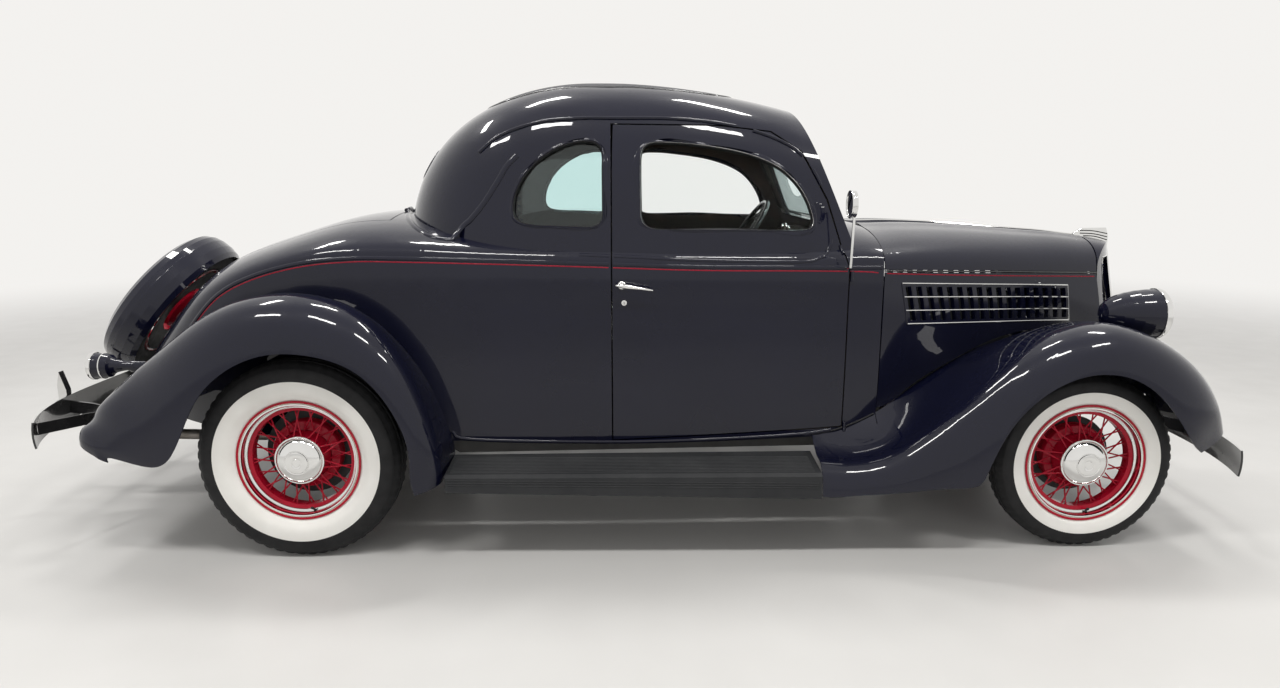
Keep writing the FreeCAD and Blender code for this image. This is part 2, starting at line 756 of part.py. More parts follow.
front_stations = [
    ((1864, 404), (1864, 760, 352), (1864, 850, 238)),
    ((1945, 417), (1962, 760, 345), (1968, 851, 240)),
    ((2030, 446), (2050, 760, 356), (2066, 855, 247)),
    ((2112, 480), (2140, 760, 388), (2172, 860, 257)),
    ((2225, 535), (2240, 762, 452), (2290, 865, 270)),
    ((2370, 612), (2385, 762, 566), (2412, 870, 284)),
    ((2475, 660), (2490, 758, 660), (2446, 870, 346)),
    ((2560, 694), (2575, 748, 730), (2490, 870, 452)),
    ((2650, 714), (2665, 738, 787), (2555, 870, 550)),
    ((2745, 726), (2760, 728, 822), (2650, 870, 632)),
    ((2850, 732), (2870, 718, 838), (2770, 870, 680)),
    ((2965, 722), (2985, 708, 820), (2895, 870, 676)),
    ((3080, 672), (3105, 704, 768), (3005, 870, 620)),
    ((3185, 590), (3215, 706, 686), (3090, 868, 532)),
    ((3265, 480), (3300, 712, 572), (3160, 850, 445)),
    ((3300, 380), (3345, 718, 455), (3230, 812, 382)),
]

rear_stations = [
    ((518, 300), (508, 812, 292), (430, 890, 268)),
    ((517, 405), (505, 805, 402), (418, 890, 372)),
    ((482, 520), (470, 790, 540), (404, 890, 480)),
    ((438, 622), (428, 778, 652), (360, 890, 580)),
    ((378, 720), (370, 766, 755), (296, 890, 668)),
    ((275, 826), (270, 756, 862), (200, 890, 735)),
    ((120, 908), (118, 745, 935), (72, 890, 768)),
    ((-60, 925), (-62, 736, 950), (-60, 890, 764)),
    ((-205, 888), (-220, 730, 914), (-178, 890, 716)),
    ((-325, 826), (-345, 728, 848), (-268, 888, 640)),
    ((-445, 742), (-468, 728, 755), (-332, 884, 540)),
    ((-560, 648), (-588, 734, 658), (-392, 878, 425)),
    ((-650, 566), (-688, 748, 566), (-470, 868, 368)),
    ((-705, 500), (-742, 762, 492), (-600, 852, 392)),
    ((-735, 440), (-765, 764, 436), (-640, 842, 378)),
]


def front_inner(x, z):
    if x < hood_x0 + 8:
        return body_side(min(x, hood_x0), z) - 6
    if x < hood_x1:
        return hood_edge(x).y - hood_tuck - 8
    return hood_w1 - hood_tuck - 8 - (x - hood_x1) * 0.2


def rear_inner(x, z):
    return body_side(x, z) - 6


fender_seat = lower_body(-lining)
cowl_front = box(hood_x0 - 2, hood_x0 + lining, -640, 640, 380, 800)
iron_slot = box(3265, 3420, 300, 350, 330, 480)
fender_front = skin([rib(s, front_inner) for s in front_stations], skin_t)
fender_front = fender_front.cut(fender_seat).cut(cowl_front.cut(fender_seat)).cut(iron_slot)
fender_rear = skin([rib(s, rear_inner) for s in rear_stations], skin_t).cut(fender_seat)


# Running boards
def board_section(x, foot_z):
    inner = body_side(x, 378) + 0.6
    return polygon([V(x, inner, 318), V(x, inner, 338), V(x, 838, 324), V(x, 852, 314),
                    V(x, 855, foot_z), V(x, 820, foot_z + 14)])


board = Part.makeLoft([board_section(board_x0 + 14.5, 262), board_section(board_x1, 232)], True, True)


# Chassis: two side rails, kicked up over the axles, and crossmembers
rail_path = [(3280, 330, 430), (2960, 332, 468), (2640, 345, 468), (2150, 415, 345), (520, 500, 345),
             (230, 470, 520), (-160, 450, 520), (-460, 380, 492), (-700, 300, 408), (-930, 300, 400)]
rail_w = 55.0


axle_x = wheelbase


def rail():
    parts = []
    for p, q in zip(rail_path, rail_path[1:]):
        a, b = V(*p), V(*q)
        up = V(0, 0, rail_half_h)
        side = V(0, rail_w / 2, 0)
        ring0 = polygon([a - up - side, a - up + side, a + up + side, a + up - side])
        ring1 = polygon([b - up - side, b - up + side, b + up + side, b + up - side])
        parts.append(Part.makeLoft([ring0, ring1], True, True))
    return parts


def cross(x, z, half, depth, height):
    return box(x - depth / 2, x + depth / 2, -half, half, z - height / 2, z + height / 2)


def rail_inner(x):
    """Y of the left rail's inner side."""
    for p, q in zip(rail_path, rail_path[1:]):
        if q[0] <= x <= p[0]:
            return p[1] + (q[1] - p[1]) * (p[0] - x) / (p[0] - q[0]) - rail_w / 2


cross_low = 322.0       # underside of the dropped crossmembers


def dropped(x, half):
    """Crossmember that dips under the torque tube."""
    low, high = cross_low, cross_low + 46
    line = [V(x, -half, low), V(x, -150, low), V(x, -120, 258), V(x, 120, 258), V(x, 150, low), V(x, half, low),
            V(x, half, high), V(x, 130, high), V(x, 104, 292), V(x, -104, 292), V(x, -130, high),
            V(x, -half, high)]
    shape = prism(line, V(60, 0, 0))
    shape.translate(V(-30, 0, 0))
    return shape


tow_hole_r = 9.0
left_rail = rail()
right_rail = [mirrored(s) for s in left_rail]
crosses = [cross(axle_x, 476, 335, 70, 60), cross(3205, shell_low - seat - 20, 325, 60, 40),
           dropped(1790, 455), dropped(1200, 470), cross(-110, 524, 450, 70, 66),
           cross(-860, 400, 300, 60, 60)]
chassis = left_rail[0].fuse(left_rail[1:] + right_rail + crosses)
chassis = chassis.cut(rod(V(-860, 0, 300), V(-860, 0, 500), tow_hole_r))

# Engine block with its gearbox, on two arms that meet the rails; radiator core on its cradle
mount_x = 2690.0
mount_half = 30.0
mount_reach = rail_inner(mount_x + mount_half) - seat
mount = box(mount_x - mount_half, mount_x + mount_half, -mount_reach, mount_reach, 450, 485)
engine = fused(box(2300, 2780, -185, 185, 410, 880), box(1905, 2300, -105, 105, 262, 378),
               box(2290, 2310, -105, 105, 262, 420), mount)
core_x = 3060.0
cradle = rail_inner(core_x) - 0.5 - seat
radiator = fused(box(core_x - 30, core_x + 30, -185, 185, 500, 985),
                 box(core_x - 20, core_x + 20, -cradle, cradle, 470, 505))

# Front axle: a beam dropped between the king pins
king_y = 600.0
king_r = 11.0
perch_y = 490.0
spring_end_z = 336.0
leaf_t = 8.0
beam_points = [V(axle_x, -king_y, 326), V(axle_x, -520, 297), V(axle_x, -380, 262), V(axle_x, 380, 262),
               V(axle_x, 520, 297), V(axle_x, king_y, 326)]
beam = []
for p, q in zip(beam_points, beam_points[1:]):
    beam.append(rod(p, q, 20.0))
    beam.append(Part.makeSphere(20.0, q))
for side in (-1, 1):
    beam.append(rod(V(axle_x, side * king_y, 296), V(axle_x, side * king_y, 356), 23.0))
    beam.append(rod(V(axle_x, side * king_y, 266), V(axle_x, side * king_y, 386), king_r))
    beam.append(rod(V(axle_x, side * perch_y, 280), V(axle_x, side * perch_y, spring_end_z - leaf_t - seat), 12.0))
front_axle = beam[0].fuse(beam[1:])
stub_r = 17.0


rod_z = 303.0            # tie rod


def knuckle():
    """Left stub axle: yoke over the axle end, backing plate, stub and steering arm."""
    y = king_y
    ears = [rod(V(axle_x, y, 357), V(axle_x, y, 379), 23.0), rod(V(axle_x, y, 273), V(axle_x, y, 295), 23.0)]
    mid = track_front / 2
    upright = box(axle_x - 20, axle_x + 20, y + 26, mid - 73, 273, 379)
    links = [box(axle_x - 18, axle_x + 18, y, y + 30, 357, 379), box(axle_x - 18, axle_x + 18, y, y + 30, 273, 295)]
    stub = rod(V(axle_x, mid - 74, 326), V(axle_x, mid + 34, 326), stub_r)
    plate = rod(V(axle_x, mid - 77, 326), V(axle_x, mid - 73, 326), 146.0)
    arm = fused(box(axle_x - 176, axle_x, y - 12, y + 12, 273, 287))
    tip = rod(V(axle_x - 170, y, 264), V(axle_x - 170, y, rod_z + 13), 8.0)
    eye = rod(V(axle_x - 170, y, 264), V(axle_x - 170, y, 287), 16.0)
    body = ears[0].fuse([ears[1], upright, stub, plate, arm, tip, eye] + links)
    bore = rod(V(axle_x, y, 200), V(axle_x, y, 450), king_r + pin_fit)
    return body.cut(bore)


knuckle_left = knuckle()
knuckle_right = mirrored(knuckle_left)
tie_bar = rod(V(axle_x - 170, -king_y + 12, rod_z), V(axle_x - 170, king_y - 12, rod_z), 10.0)
tie_eyes = [rod(V(axle_x - 170, s * king_y, rod_z - 11), V(axle_x - 170, s * king_y, rod_z + 11), 17.0)
            for s in (-1, 1)]
tie_rod = tie_bar.fuse(tie_eyes)
tie_rod = tie_rod.cut(rod(V(axle_x - 170, -king_y, 200), V(axle_x - 170, -king_y, 400), 8.0 + run_fit))
tie_rod = tie_rod.cut(rod(V(axle_x - 170, king_y, 200), V(axle_x - 170, king_y, 400), 8.8))

# Rear axle with its torque tube
axle_z = tyre_r_rear
mid_r = track_rear / 2
axle_parts = [Part.makeSphere(118.0, V(0, 0, axle_z)),
              rod(V(0, -(mid_r - 77), axle_z), V(0, mid_r - 77, axle_z), 34.0),
              rod(V(0, 0, axle_z), V(1904, 0, 330), 30.0)]
for side in (-1, 1):
    axle_parts.append(rod(V(0, side * (mid_r - 77), axle_z), V(0, side * (mid_r - 73), axle_z), 160.0))
    axle_parts.append(rod(V(0, side * (mid_r - 74), axle_z), V(0, side * (mid_r + 34), axle_z), stub_r))
    axle_parts.append(rod(V(0, side * 470, axle_z), V(1000, side * 20, 342), 14.0))
rear_axle = axle_parts[0].fuse(axle_parts[1:])


def leaf_spring(x, half, z_end, z_mid, width):
    """Transverse leaf pack, arched up to the crossmember."""
    def top(y, leaf=0):
        return z_mid - leaf_t * leaf - (z_mid - z_end) * (y / half) ** 2
    line = [V(0, y, top(y)) for y in even(-half, half, 15)]
    reach = [half * (1 - 0.17 * k) for k in range(5)]
    low = []
    for k in range(4):
        inner = reach[k + 1] if k < 3 else 0.0
        low += [V(0, y, top(y, k + 1)) for y in even(reach[k], inner, 3)]
    line += low + [V(0, -p.y, p.z) for p in reversed(low[:-1])]
    pack = prism(line, V(width, 0, 0))
    pack.translate(V(x - width / 2, 0, 0))
    clip = box(x - width / 2 - 4, x + width / 2 + 4, -26, 26, z_mid - 5 * leaf_t, z_mid)
    return pack.fuse(clip)


springs = solids(leaf_spring(axle_x, 500, spring_end_z, 446 - seat, 44), leaf_spring(-110, 520, 428, 491 - seat, 50))

# Wishbone from the axle back to its ball under the gearbox
bone_end = V(axle_x - 25.4, 430, 262)
bone_ball = V(1990, 12, 218)
wishbone = fused(rod(bone_end, bone_ball, 13.0), mirrored(rod(bone_end, bone_ball, 13.0)),
                 Part.makeSphere(24.0, V(1985, 0, 218)))

tank_top = trunk_z - seat
fuel_tank = rounded(box(-660, -350, -270, 270, tank_top - 140, tank_top), 25)

# Exhaust hung close under the crossmembers
pipe_r = 21.0
pipe_z = cross_low - seat - pipe_r - 7.9
exhaust = pipe([V(2290, -230, pipe_z + 180), V(2230, -230, pipe_z + 10), V(300, -230, pipe_z),
                V(-420, -255, pipe_z), V(-1010, -300, pipe_z + 30)], pipe_r, 60.0)
exhaust = exhaust.fuse(rod(V(1290, -230, pipe_z + 6), V(1700, -230, pipe_z + 8), 58.0))


# Wire wheels. The wheel is drawn on the origin with its outside facing +Y.
def lathe(points):
    """Turn an (r, y) outline about the wheel's axis."""
    wire = polygon([V(r, y, 0) for r, y in points])
    return Part.Face(wire).revolve(V(0, 0, 0), V(0, 1, 0), 360)


half_rim = rim_w / 2
rim = lathe([(rim_r, -half_rim), (rim_r, -half_rim + 4), (rim_seat_r + 2, -half_rim + 10),
             (rim_seat_r, -26), (rim_seat_r - 22, -18), (rim_seat_r - 22, 18), (rim_seat_r, 26),
             (rim_seat_r + 2, half_rim - 10), (rim_r, half_rim - 4), (rim_r, half_rim),
             (rim_r - 4, half_rim), (rim_seat_r - 3, half_rim - 8), (rim_seat_r - 4, 26),
             (rim_seat_r - 26, 20), (rim_seat_r - 26, -20), (rim_seat_r - 4, -26),
             (rim_seat_r - 3, -half_rim + 8), (rim_r - 4, -half_rim)])
shell_r = 92.0          # widest part of the hub shell
shell_face = 44.0
cap_y = shell_face + seat
hub_shell = lathe([(stub_r + run_fit, -64), (64, -64), (88, -50), (shell_r, -20), (84, 10), (78, 34),
                   (72, shell_face), (60, shell_face), (stub_r + run_fit, 38)])
spokes = []
for k in range(spoke_count):
    a = 2 * math.pi * k / spoke_count
    lean = math.radians(16) * (1 if k % 2 else -1)
    inner_y, outer_y = (34.0, -6.0) if k % 4 < 2 else (-15.0, 8.0)
    inner_r = 72.0 if k % 4 < 2 else 86.0
    p = V(inner_r * math.cos(a), inner_y, inner_r * math.sin(a))
    q = V((rim_seat_r - 24) * math.cos(a + lean), outer_y, (rim_seat_r - 24) * math.sin(a + lean))
    spokes.append(rod(p, q, spoke_d / 2))
wheel = rim.fuse([hub_shell] + spokes)


def make_hub(drum_r):
    """Brake drum behind the spokes and domed cap in front."""
    bore = shell_r + seat
    drum = lathe([(bore, -71), (drum_r, -71), (drum_r, -34), (drum_r - 5, -28), (drum_r - 18, -25),
                  (116, -19), (106, -17.5), (bore, -17.5)])
    cap = []
    for t in even(0.0, 1.0, 9):
        a = t * math.pi / 2
        cap.append((hub_cap_r * power(math.cos(a), 0.75), cap_y + 34.7 * power(math.sin(a), 0.9)))
    cap = lathe([(0, cap_y)] + cap[:-1] + [(0, cap_y + 34.7)])
    return solids(drum, cap)


def make_tyre(r, w):
    inner = rim_seat_r + 2.0
    bulge = r - rim_seat_r
    half = w / 2
    side = [(inner, half_rim - 14), (rim_seat_r + 3.5, half_rim - 11), (rim_r + 1, half_rim - 5.5),
            (rim_r + 8, half_rim + 1), (rim_seat_r + bulge * 0.5, half), (r - bulge * 0.16, half * 0.88),
            (r - 6, half * 0.62), (r, half * 0.4)]
    return lathe(side + [(a, -b) for a, b in reversed(side)])


def place_wheel(shape, x, y, z, mirrored_side):
    s = shape.copy()
    if mirrored_side:
        s = mirrored(s)
    s.translate(V(x, y, z))
    return s


corners = {
    "front_left": (axle_x, track_front / 2, tyre_r_front, tyre_w_front, 140.0),
    "front_right": (axle_x, -track_front / 2, tyre_r_front, tyre_w_front, 140.0),
    "rear_left": (0.0, track_rear / 2, tyre_r_rear, tyre_w_rear, 154.0),
    "rear_right": (0.0, -track_rear / 2, tyre_r_rear, tyre_w_rear, 154.0),
}

# Spare wheel on the deck lid, leaning with the tail
spare_centre = V(-800, 0, 815)
spare_slope = 52.0      # slope of the wheel's plane, degrees
spare_r = tyre_r_front
spare_tyre_w = 140.0
cover_t = 3.0


def on_lid(shape):
    s = shape.copy()
    s.rotate(V(0, 0, 0), V(1, 0, 0), 90)
    s.rotate(V(0, 0, 0), V(0, 1, 0), -spare_slope)
    s.translate(spare_centre)
    return s


def make_cover():
    """Crowned pressed ring round the spare tyre, resting on its outer side."""
    half = spare_tyre_w / 2 + seat
    line = [(rim_r + 20, half - 4), (rim_seat_r + 62, half), (spare_r - 28, half * 0.96),
            (spare_r - 6, half * 0.74), (spare_r + 6, half * 0.4), (spare_r + 10, 0), (spare_r + 8, -36),
            (spare_r, -66), (spare_r - 12, -84)]
    back = []
    for k, (r, y) in enumerate(line):
        r0, y0 = line[max(k - 1, 0)]
        r1, y1 = line[min(k + 1, len(line) - 1)]
        run = math.hypot(r1 - r0, y1 - y0)
        back.append((r - (y1 - y0) / run * cover_t, y + (r1 - r0) / run * cover_t))
    return lathe(line + back[::-1])


spare_wheel = on_lid(wheel)
spare_tyre = on_lid(make_tyre(spare_r, spare_tyre_w))
spare_cover = on_lid(make_cover())
carrier = on_lid(rod(V(0, -200, 0), V(0, 38, 0), stub_r - 0.3))
deck_lid = deck_lid.fuse(carrier.cut(lower_body(20.0, 20.0)))


# Lamps
def turned_x(points, origin, toward):
    """Turn an (x, r) outline about a fore-aft line."""
    wire = polygon([V(x, 0, r) for x, r in points])
    s = Part.Face(wire).revolve(V(0, 0, 0), V(1, 0, 0), 360)
    if toward < 0:
        s = s.mirror(V(0, 0, 0), V(1, 0, 0))
    s.translate(origin)
    return s


lamp_at = V(3196, 500, 838)
pod_len = 212.0
pod_r = 95.0
pod_line = [(-pod_len, 0)] + [(-pod_len * math.cos(a), pod_r * power(math.sin(a), 0.8))
                              for a in even(0.15, math.pi / 2, 8)] + [(0, 0)]
headlamp = turned_x(pod_line, lamp_at, 1)
stalk = prism([V(3040, 0, 640), V(3150, 0, 640), V(3125, 0, 800), V(3060, 0, 800)], V(0, 40, 0))
stalk.translate(V(0, 480, 0))
raised = [[p + V(0, 0, 0.6) for p in rib(s, front_inner)] for s in front_stations]
headlamp = headlamp.fuse(stalk).cut(skin(raised, 90.0))
headlamp = max(headlamp.Solids, key=lambda piece: piece.Volume)
lens_line = [(seat, 0), (seat, pod_r), (14, pod_r - 2)] + [
    (14 + 42 * math.sin(a), (pod_r - 8) * math.cos(a)) for a in even(0.0, math.pi / 2, 7)]
head_lens = turned_x(lens_line, lamp_at, 1)
tail_at = V(-822, 560, 660)
tail_line = [(-150, 0), (-150, 16), (-110, 19), (-84, 25), (-70, 33), (-62, 42), (-40, 47), (-10, 49), (0, 49),
             (0, 0)]
tail_lamp = turned_x(tail_line, tail_at, -1)


def neck_ring(centre, high, wide, turn):
    """Oval across the neck; turn tips it from upright, degrees."""
    up = V(math.sin(math.radians(turn)), 0, math.cos(math.radians(turn)))
    points = []
    for k in range(12):
        a = math.radians(30 * k)
        points.append(centre + up * (high * math.cos(a)) + V(0, wide * math.sin(a), 0))
    return Part.Wire(ring_spline(points))


neck = Part.makeLoft([neck_ring(tail_at + V(118, 0, 0), 18, 18, 0), neck_ring(tail_at + V(150, -4, -6), 24, 19, 14),
                      neck_ring(tail_at + V(176, -14, -26), 46, 22, 36),
                      neck_ring(tail_at + V(205, -26, -52), 78, 27, 42)], True, False)
body_seat = lower_body(-seat)
rear_ribs = [rib(s, rear_inner) for s in rear_stations]
tail_lamp = tail_lamp.fuse(neck).cut(skin(rear_ribs, skin_t + seat)).cut(body_seat)
tail_lamp = max(tail_lamp.Solids, key=lambda piece: piece.Volume)
tail_lens = turned_x([(seat, 0), (seat, 46), (8, 44), (18, 28), (22, 0)], tail_at, -1)


# Mirror on the door's upper hinge
mirror_foot = V(1962, 636, 1030)
mirror_knee = V(1962, 705, 1040)
mirror_top = V(1966, 712, 1255)
mirror = rod(mirror_foot, mirror_knee, 5.0).fuse([
    Part.makeSphere(5.0, mirror_knee), rod(mirror_knee, mirror_top, 5.0), Part.makeSphere(5.0, mirror_top),
    rod(mirror_top, V(1950, 752, 1262), 5.0), rod(V(1955, 752, 1262), V(1940, 752, 1262), 46.0)])
mirror = max(mirror.cut(body_seat).Solids, key=lambda piece: piece.Volume)

# Bumpers: spring-steel blades
blade_t = 6.0
blade_h = 100.0


def blade(face_x, sweep, half, z0, z1, forward):
    rows = []
    for y in even(-half, half, 13):
        x = face_x - forward * sweep * abs(y / half) ** 3
        rows.append([V(x - forward * 6.0 * (2 * v - 1) ** 2, y, z0 + (z1 - z0) * v)
                     for v in even(0.0, 1.0, 7)])
    return skin(rows, forward * blade_t)


front_z = 272.0
rear_z = 380.0
iron_y = 290.0
bumper_front = blade(nose_x, 95.0, 760.0, front_z, front_z + blade_h, 1)
bumper_rear = blade(tail_x + 22.0, 135.0, 700.0, rear_z, rear_z + blade_h, -1)


def blade_back(face_x, sweep, half, y, forward):
    """X of the hollow side of a bumper blade at mid height."""
    return face_x - forward * (sweep * abs(y / half) ** 3 + blade_t + 2.2)


def iron(a, b, height, thick):
    """Flat bar on edge from one point to another."""
    up = V(0, 0, height / 2)
    out = V(0, thick / 2, 0)
    rings = [polygon([p - up - out, p - up + out, p + up + out, p + up - out]) for p in (a, b)]
    return Part.makeLoft(rings, True, True)


front_back = blade_back(nose_x, 95.0, 760.0, iron_y, 1)
rear_back = blade_back(tail_x + 22.0, 135.0, 700.0, iron_y, -1)
front_iron = iron(V(3280 + seat, 325, 430), V(3400, 310, 352), 50, 10).fuse(
    iron(V(3400, 310, 352), V(front_back, iron_y, front_z + 50), 50, 10))
rear_iron = iron(V(-930 - seat, 300, 400), V(-1010, 298, 420), 50, 10).fuse(
    iron(V(-1010, 298, 420), V(rear_back, iron_y, rear_z + 50), 50, 10))
outer_iron_y = 610.0
outer_back = blade_back(tail_x + 22.0, 135.0, 700.0, outer_iron_y, -1)
outer_iron = iron(V(-925, 300 + rail_w / 2 + seat + 5, 402), V(-960, 420, 415), 45, 8).fuse(
    iron(V(-960, 420, 415), V(outer_back + 2, outer_iron_y, rear_z + 50), 45, 8))
guard_line = [V(tail_x, 0, 372), V(tail_x + 34, 0, 366), V(tail_x + 34, 0, 500), V(tail_x + 12, 0, 575),
              V(tail_x, 0, 520)]
guard = prism(guard_line, V(0, 30, 0))
guard.translate(V(0, 265, 0))
bumper_rear = bumper_rear.fuse([guard, mirrored(guard)])

os.makedirs("parts", exist_ok=True)
save("body_shell", shell)
save("roof_insert", roof_insert)
save("floor_pan", floor_pan)
save("window_glass", solids(screen_glass, rear_glass, quarter_glass, mirrored(quarter_glass)))
save("grille_shell", grille_shell)
save("grille", grille)
save("hood_hinge", solids(hood_hinge, fin))
save("radiator", radiator)
save("engine", engine)
save("fenders_front", both(fender_front))
save("fenders_rear", both(fender_rear))
save("running_boards", both(board))
save("chassis", chassis)
save("front_axle", front_axle)
save("rear_axle", rear_axle)
save("springs", springs)
save("wishbone", wishbone)
save("exhaust", exhaust)
save("fuel_tank", fuel_tank)
save("lamp_pods", solids(both(headlamp), both(tail_lamp)))
save("lamp_lenses", solids(both(head_lens), both(tail_lens)))
save("bumper_front", bumper_front)
save("bumper_rear", bumper_rear)
save("bumper_irons", solids(both(front_iron), both(rear_iron), both(outer_iron)))
save("seat_cushions", solids(cushion, back))
save("dashboard", dashboard)
save("steering_column", column)
save("steering_wheel", steering_wheel)
save("door_left", door_left)
save("door_right", mirrored(door_left))
save("door_glass_left", door_glass)
save("door_glass_right", mirrored(door_glass))
save("mirror_left", mirror)
save("mirror_right", mirrored(mirror))
save("deck_lid", deck_lid)
save("hood_top_left", hood_top)
save("hood_top_right", mirrored(hood_top))
save("hood_side_left", hood_side)
save("hood_side_right", mirrored(hood_side))
save("knuckle_left", knuckle_left)
save("knuckle_right", knuckle_right)
save("tie_rod", tie_rod)
for corner, (x, y, r, w, drum_r) in corners.items():
    flip = y < 0
    save("wheel_" + corner, place_wheel(wheel, x, y, r, flip))
    save("tyre_" + corner, place_wheel(make_tyre(r, w), x, y, r, flip))
    save("hub_" + corner, place_wheel(make_hub(drum_r), x, y, r, flip))
save("spare_wheel", spare_wheel)
save("spare_tyre", spare_tyre)
save("spare_cover", spare_cover)
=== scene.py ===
import bpy
import bmesh
import json
import math
from mathutils import Matrix, Vector
from mathutils.bvhtree import BVHTree


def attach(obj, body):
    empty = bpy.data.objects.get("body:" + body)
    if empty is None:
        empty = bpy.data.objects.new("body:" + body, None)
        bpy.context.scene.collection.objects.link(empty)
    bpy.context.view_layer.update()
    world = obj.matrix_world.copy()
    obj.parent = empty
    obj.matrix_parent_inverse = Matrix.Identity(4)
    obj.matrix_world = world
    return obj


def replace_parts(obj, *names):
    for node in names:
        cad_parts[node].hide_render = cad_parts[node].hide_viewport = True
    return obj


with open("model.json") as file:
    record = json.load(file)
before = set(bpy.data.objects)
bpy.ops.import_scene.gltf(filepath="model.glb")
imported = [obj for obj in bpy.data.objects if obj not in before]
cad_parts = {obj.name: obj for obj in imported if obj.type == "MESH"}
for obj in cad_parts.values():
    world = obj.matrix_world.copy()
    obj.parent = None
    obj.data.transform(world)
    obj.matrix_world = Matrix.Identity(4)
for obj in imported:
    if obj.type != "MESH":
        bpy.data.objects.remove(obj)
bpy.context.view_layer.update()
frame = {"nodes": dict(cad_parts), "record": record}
nodes = frame["nodes"]
print("frame loaded:", len(nodes), "nodes")

# Positions are in millimetres on the drawing, X measured from the rear axle
frontAxle = 2845
drawingShift = 1185
sides = ((1, "left", "Left"), (-1, "right", "Right"))
forward, backward, down = Vector((1, 0, 0)), Vector((-1, 0, 0)), Vector((0, 0, -1))
acrossCar = Vector((0, 1, 0))


def at(x, y, z):
    return Vector(((x - drawingShift) / 1000, y / 1000, z / 1000))


def inMetres(profile):
    return [(r / 1000, y / 1000) for r, y in profile]


# A line given as (x, z), on the car's middle plane
def seenLine(points):
    return [at(x, 0, z) for x, z in points]


def turned(degrees, axis):
    return Matrix.Rotation(math.radians(degrees), 4, axis)


def newObject(name, data):
    thing = bpy.data.objects.new(name, data)
    bpy.context.scene.collection.objects.link(thing)
    return thing


def inward(side):
    return Vector((0, -side, 0))


# Finishes

# A shader node; each socket is given a value or another node's output
def addNode(tree, kind, sockets, **settings):
    node = tree.nodes.new("ShaderNode" + kind)
    for key, value in settings.items():
        setattr(node, key, value)
    for key, value in sockets.items():
        if isinstance(value, bpy.types.NodeSocket):
            tree.links.new(value, node.inputs[key])
        else:
            node.inputs[key].default_value = value
    return node


def addNoise(tree, scale, detail=4.0, stretch=(1, 1, 1)):
    coord = addNode(tree, "TexCoord", {})
    spread = addNode(tree, "Mapping", {"Vector": coord.outputs["Object"], "Scale": stretch})
    noise = addNode(tree, "TexNoise", {"Vector": spread.outputs[0], "Scale": scale, "Detail": detail})
    return noise.outputs["Fac"]


# Over-and-under threads of a woven cloth, as a height
def addWeave(tree, scale):
    coord = addNode(tree, "TexCoord", {}).outputs["Object"]
    waves = [addNode(tree, "TexWave", {"Scale": scale, "Vector": coord},
        bands_direction=axis).outputs["Fac"] for axis in ("X", "Y", "Z")]
    total = waves[0]
    for other in waves[1:]:
        total = addNode(tree, "Math", {0: total, 1: 0.5, 2: other}, operation="MULTIPLY_ADD").outputs[0]
    return total


def addRange(tree, source, low, high, fromLow=0.3, fromHigh=0.7, **settings):
    ends = {"Value": source, "From Min": fromLow, "From Max": fromHigh, "To Min": low, "To Max": high}
    return addNode(tree, "MapRange", ends, **settings).outputs[0]


socketOf = {"coat": "Coat Weight", "coatRough": "Coat Roughness", "coatIor": "Coat IOR",
    "specular": "Specular IOR Level", "sheen": "Sheen Weight", "sheenRough": "Sheen Roughness",
    "clear": "Transmission Weight", "ior": "IOR"}


# bump is the strength and the scale of the relief
def makeFinish(name, colors, blotch, rough, roughScale, metal=0, bump=None, stretch=(1, 1, 1),
        weave=False, **fixed):
    mat = bpy.data.materials.new(name)
    mat.use_nodes = True
    tree = mat.node_tree
    tree.nodes.clear()
    factor = addRange(tree, addNoise(tree, blotch), 0.0, 1.0)
    mix = addNode(tree, "Mix", {0: factor, 6: (*colors[0], 1.0), 7: (*colors[1], 1.0)}, data_type="RGBA")
    sockets = {"Base Color": mix.outputs[2], "Metallic": metal, "Roughness": addRange(tree,
        addNoise(tree, roughScale), rough[0], rough[1])}
    if bump:
        strength, scale = bump
        height = addWeave(tree, scale) if weave else addNoise(tree, scale, 3.0, stretch)
        relief = addNode(tree, "Bump", {"Strength": strength, "Distance": 0.001, "Height": height})
        sockets["Normal"] = relief.outputs[0]
    for key, value in fixed.items():
        sockets[socketOf[key]] = value
    skinNode = addNode(tree, "BsdfPrincipled", sockets)
    addNode(tree, "OutputMaterial", {0: skinNode.outputs[0]})
    return mat


paint = makeFinish("bodyPaint", ((0.0026, 0.0031, 0.012), (0.0034, 0.004, 0.0145)), 3, (0.28, 0.36), 9,
    bump=(0.012, 260), coat=1, coatRough=0.02, coatIor=1.42, specular=0.05)
chrome = makeFinish("brightChrome", ((0.74, 0.74, 0.73), (0.8, 0.8, 0.79)), 12, (0.03, 0.07), 40, metal=1,
    bump=(0.01, 300))
redEnamel = makeFinish("redEnamel", ((0.33, 0.004, 0.019), (0.39, 0.006, 0.024)), 14, (0.24, 0.34), 40,
    bump=(0.03, 350), coat=0.5, coatRough=0.04, coatIor=1.32, specular=0.12)
stripeRed = makeFinish("stripeRed", ((0.23, 0.006, 0.018), (0.28, 0.009, 0.024)), 40, (0.25, 0.35), 60,
    specular=0.15)
chassisBlack = makeFinish("chassisBlack", ((0.01, 0.01, 0.011), (0.02, 0.019, 0.018)), 9, (0.42, 0.62),
    22, bump=(0.15, 160))
rubber = makeFinish("tyreRubber", ((0.012, 0.012, 0.013), (0.019, 0.019, 0.02)), 18, (0.52, 0.68), 60,
    bump=(0.2, 500), specular=0.22)
whiteRubber = makeFinish("whitewall", ((0.75, 0.74, 0.705), (0.81, 0.8, 0.77)), 10, (0.45, 0.6), 50,
    bump=(0.1, 420))
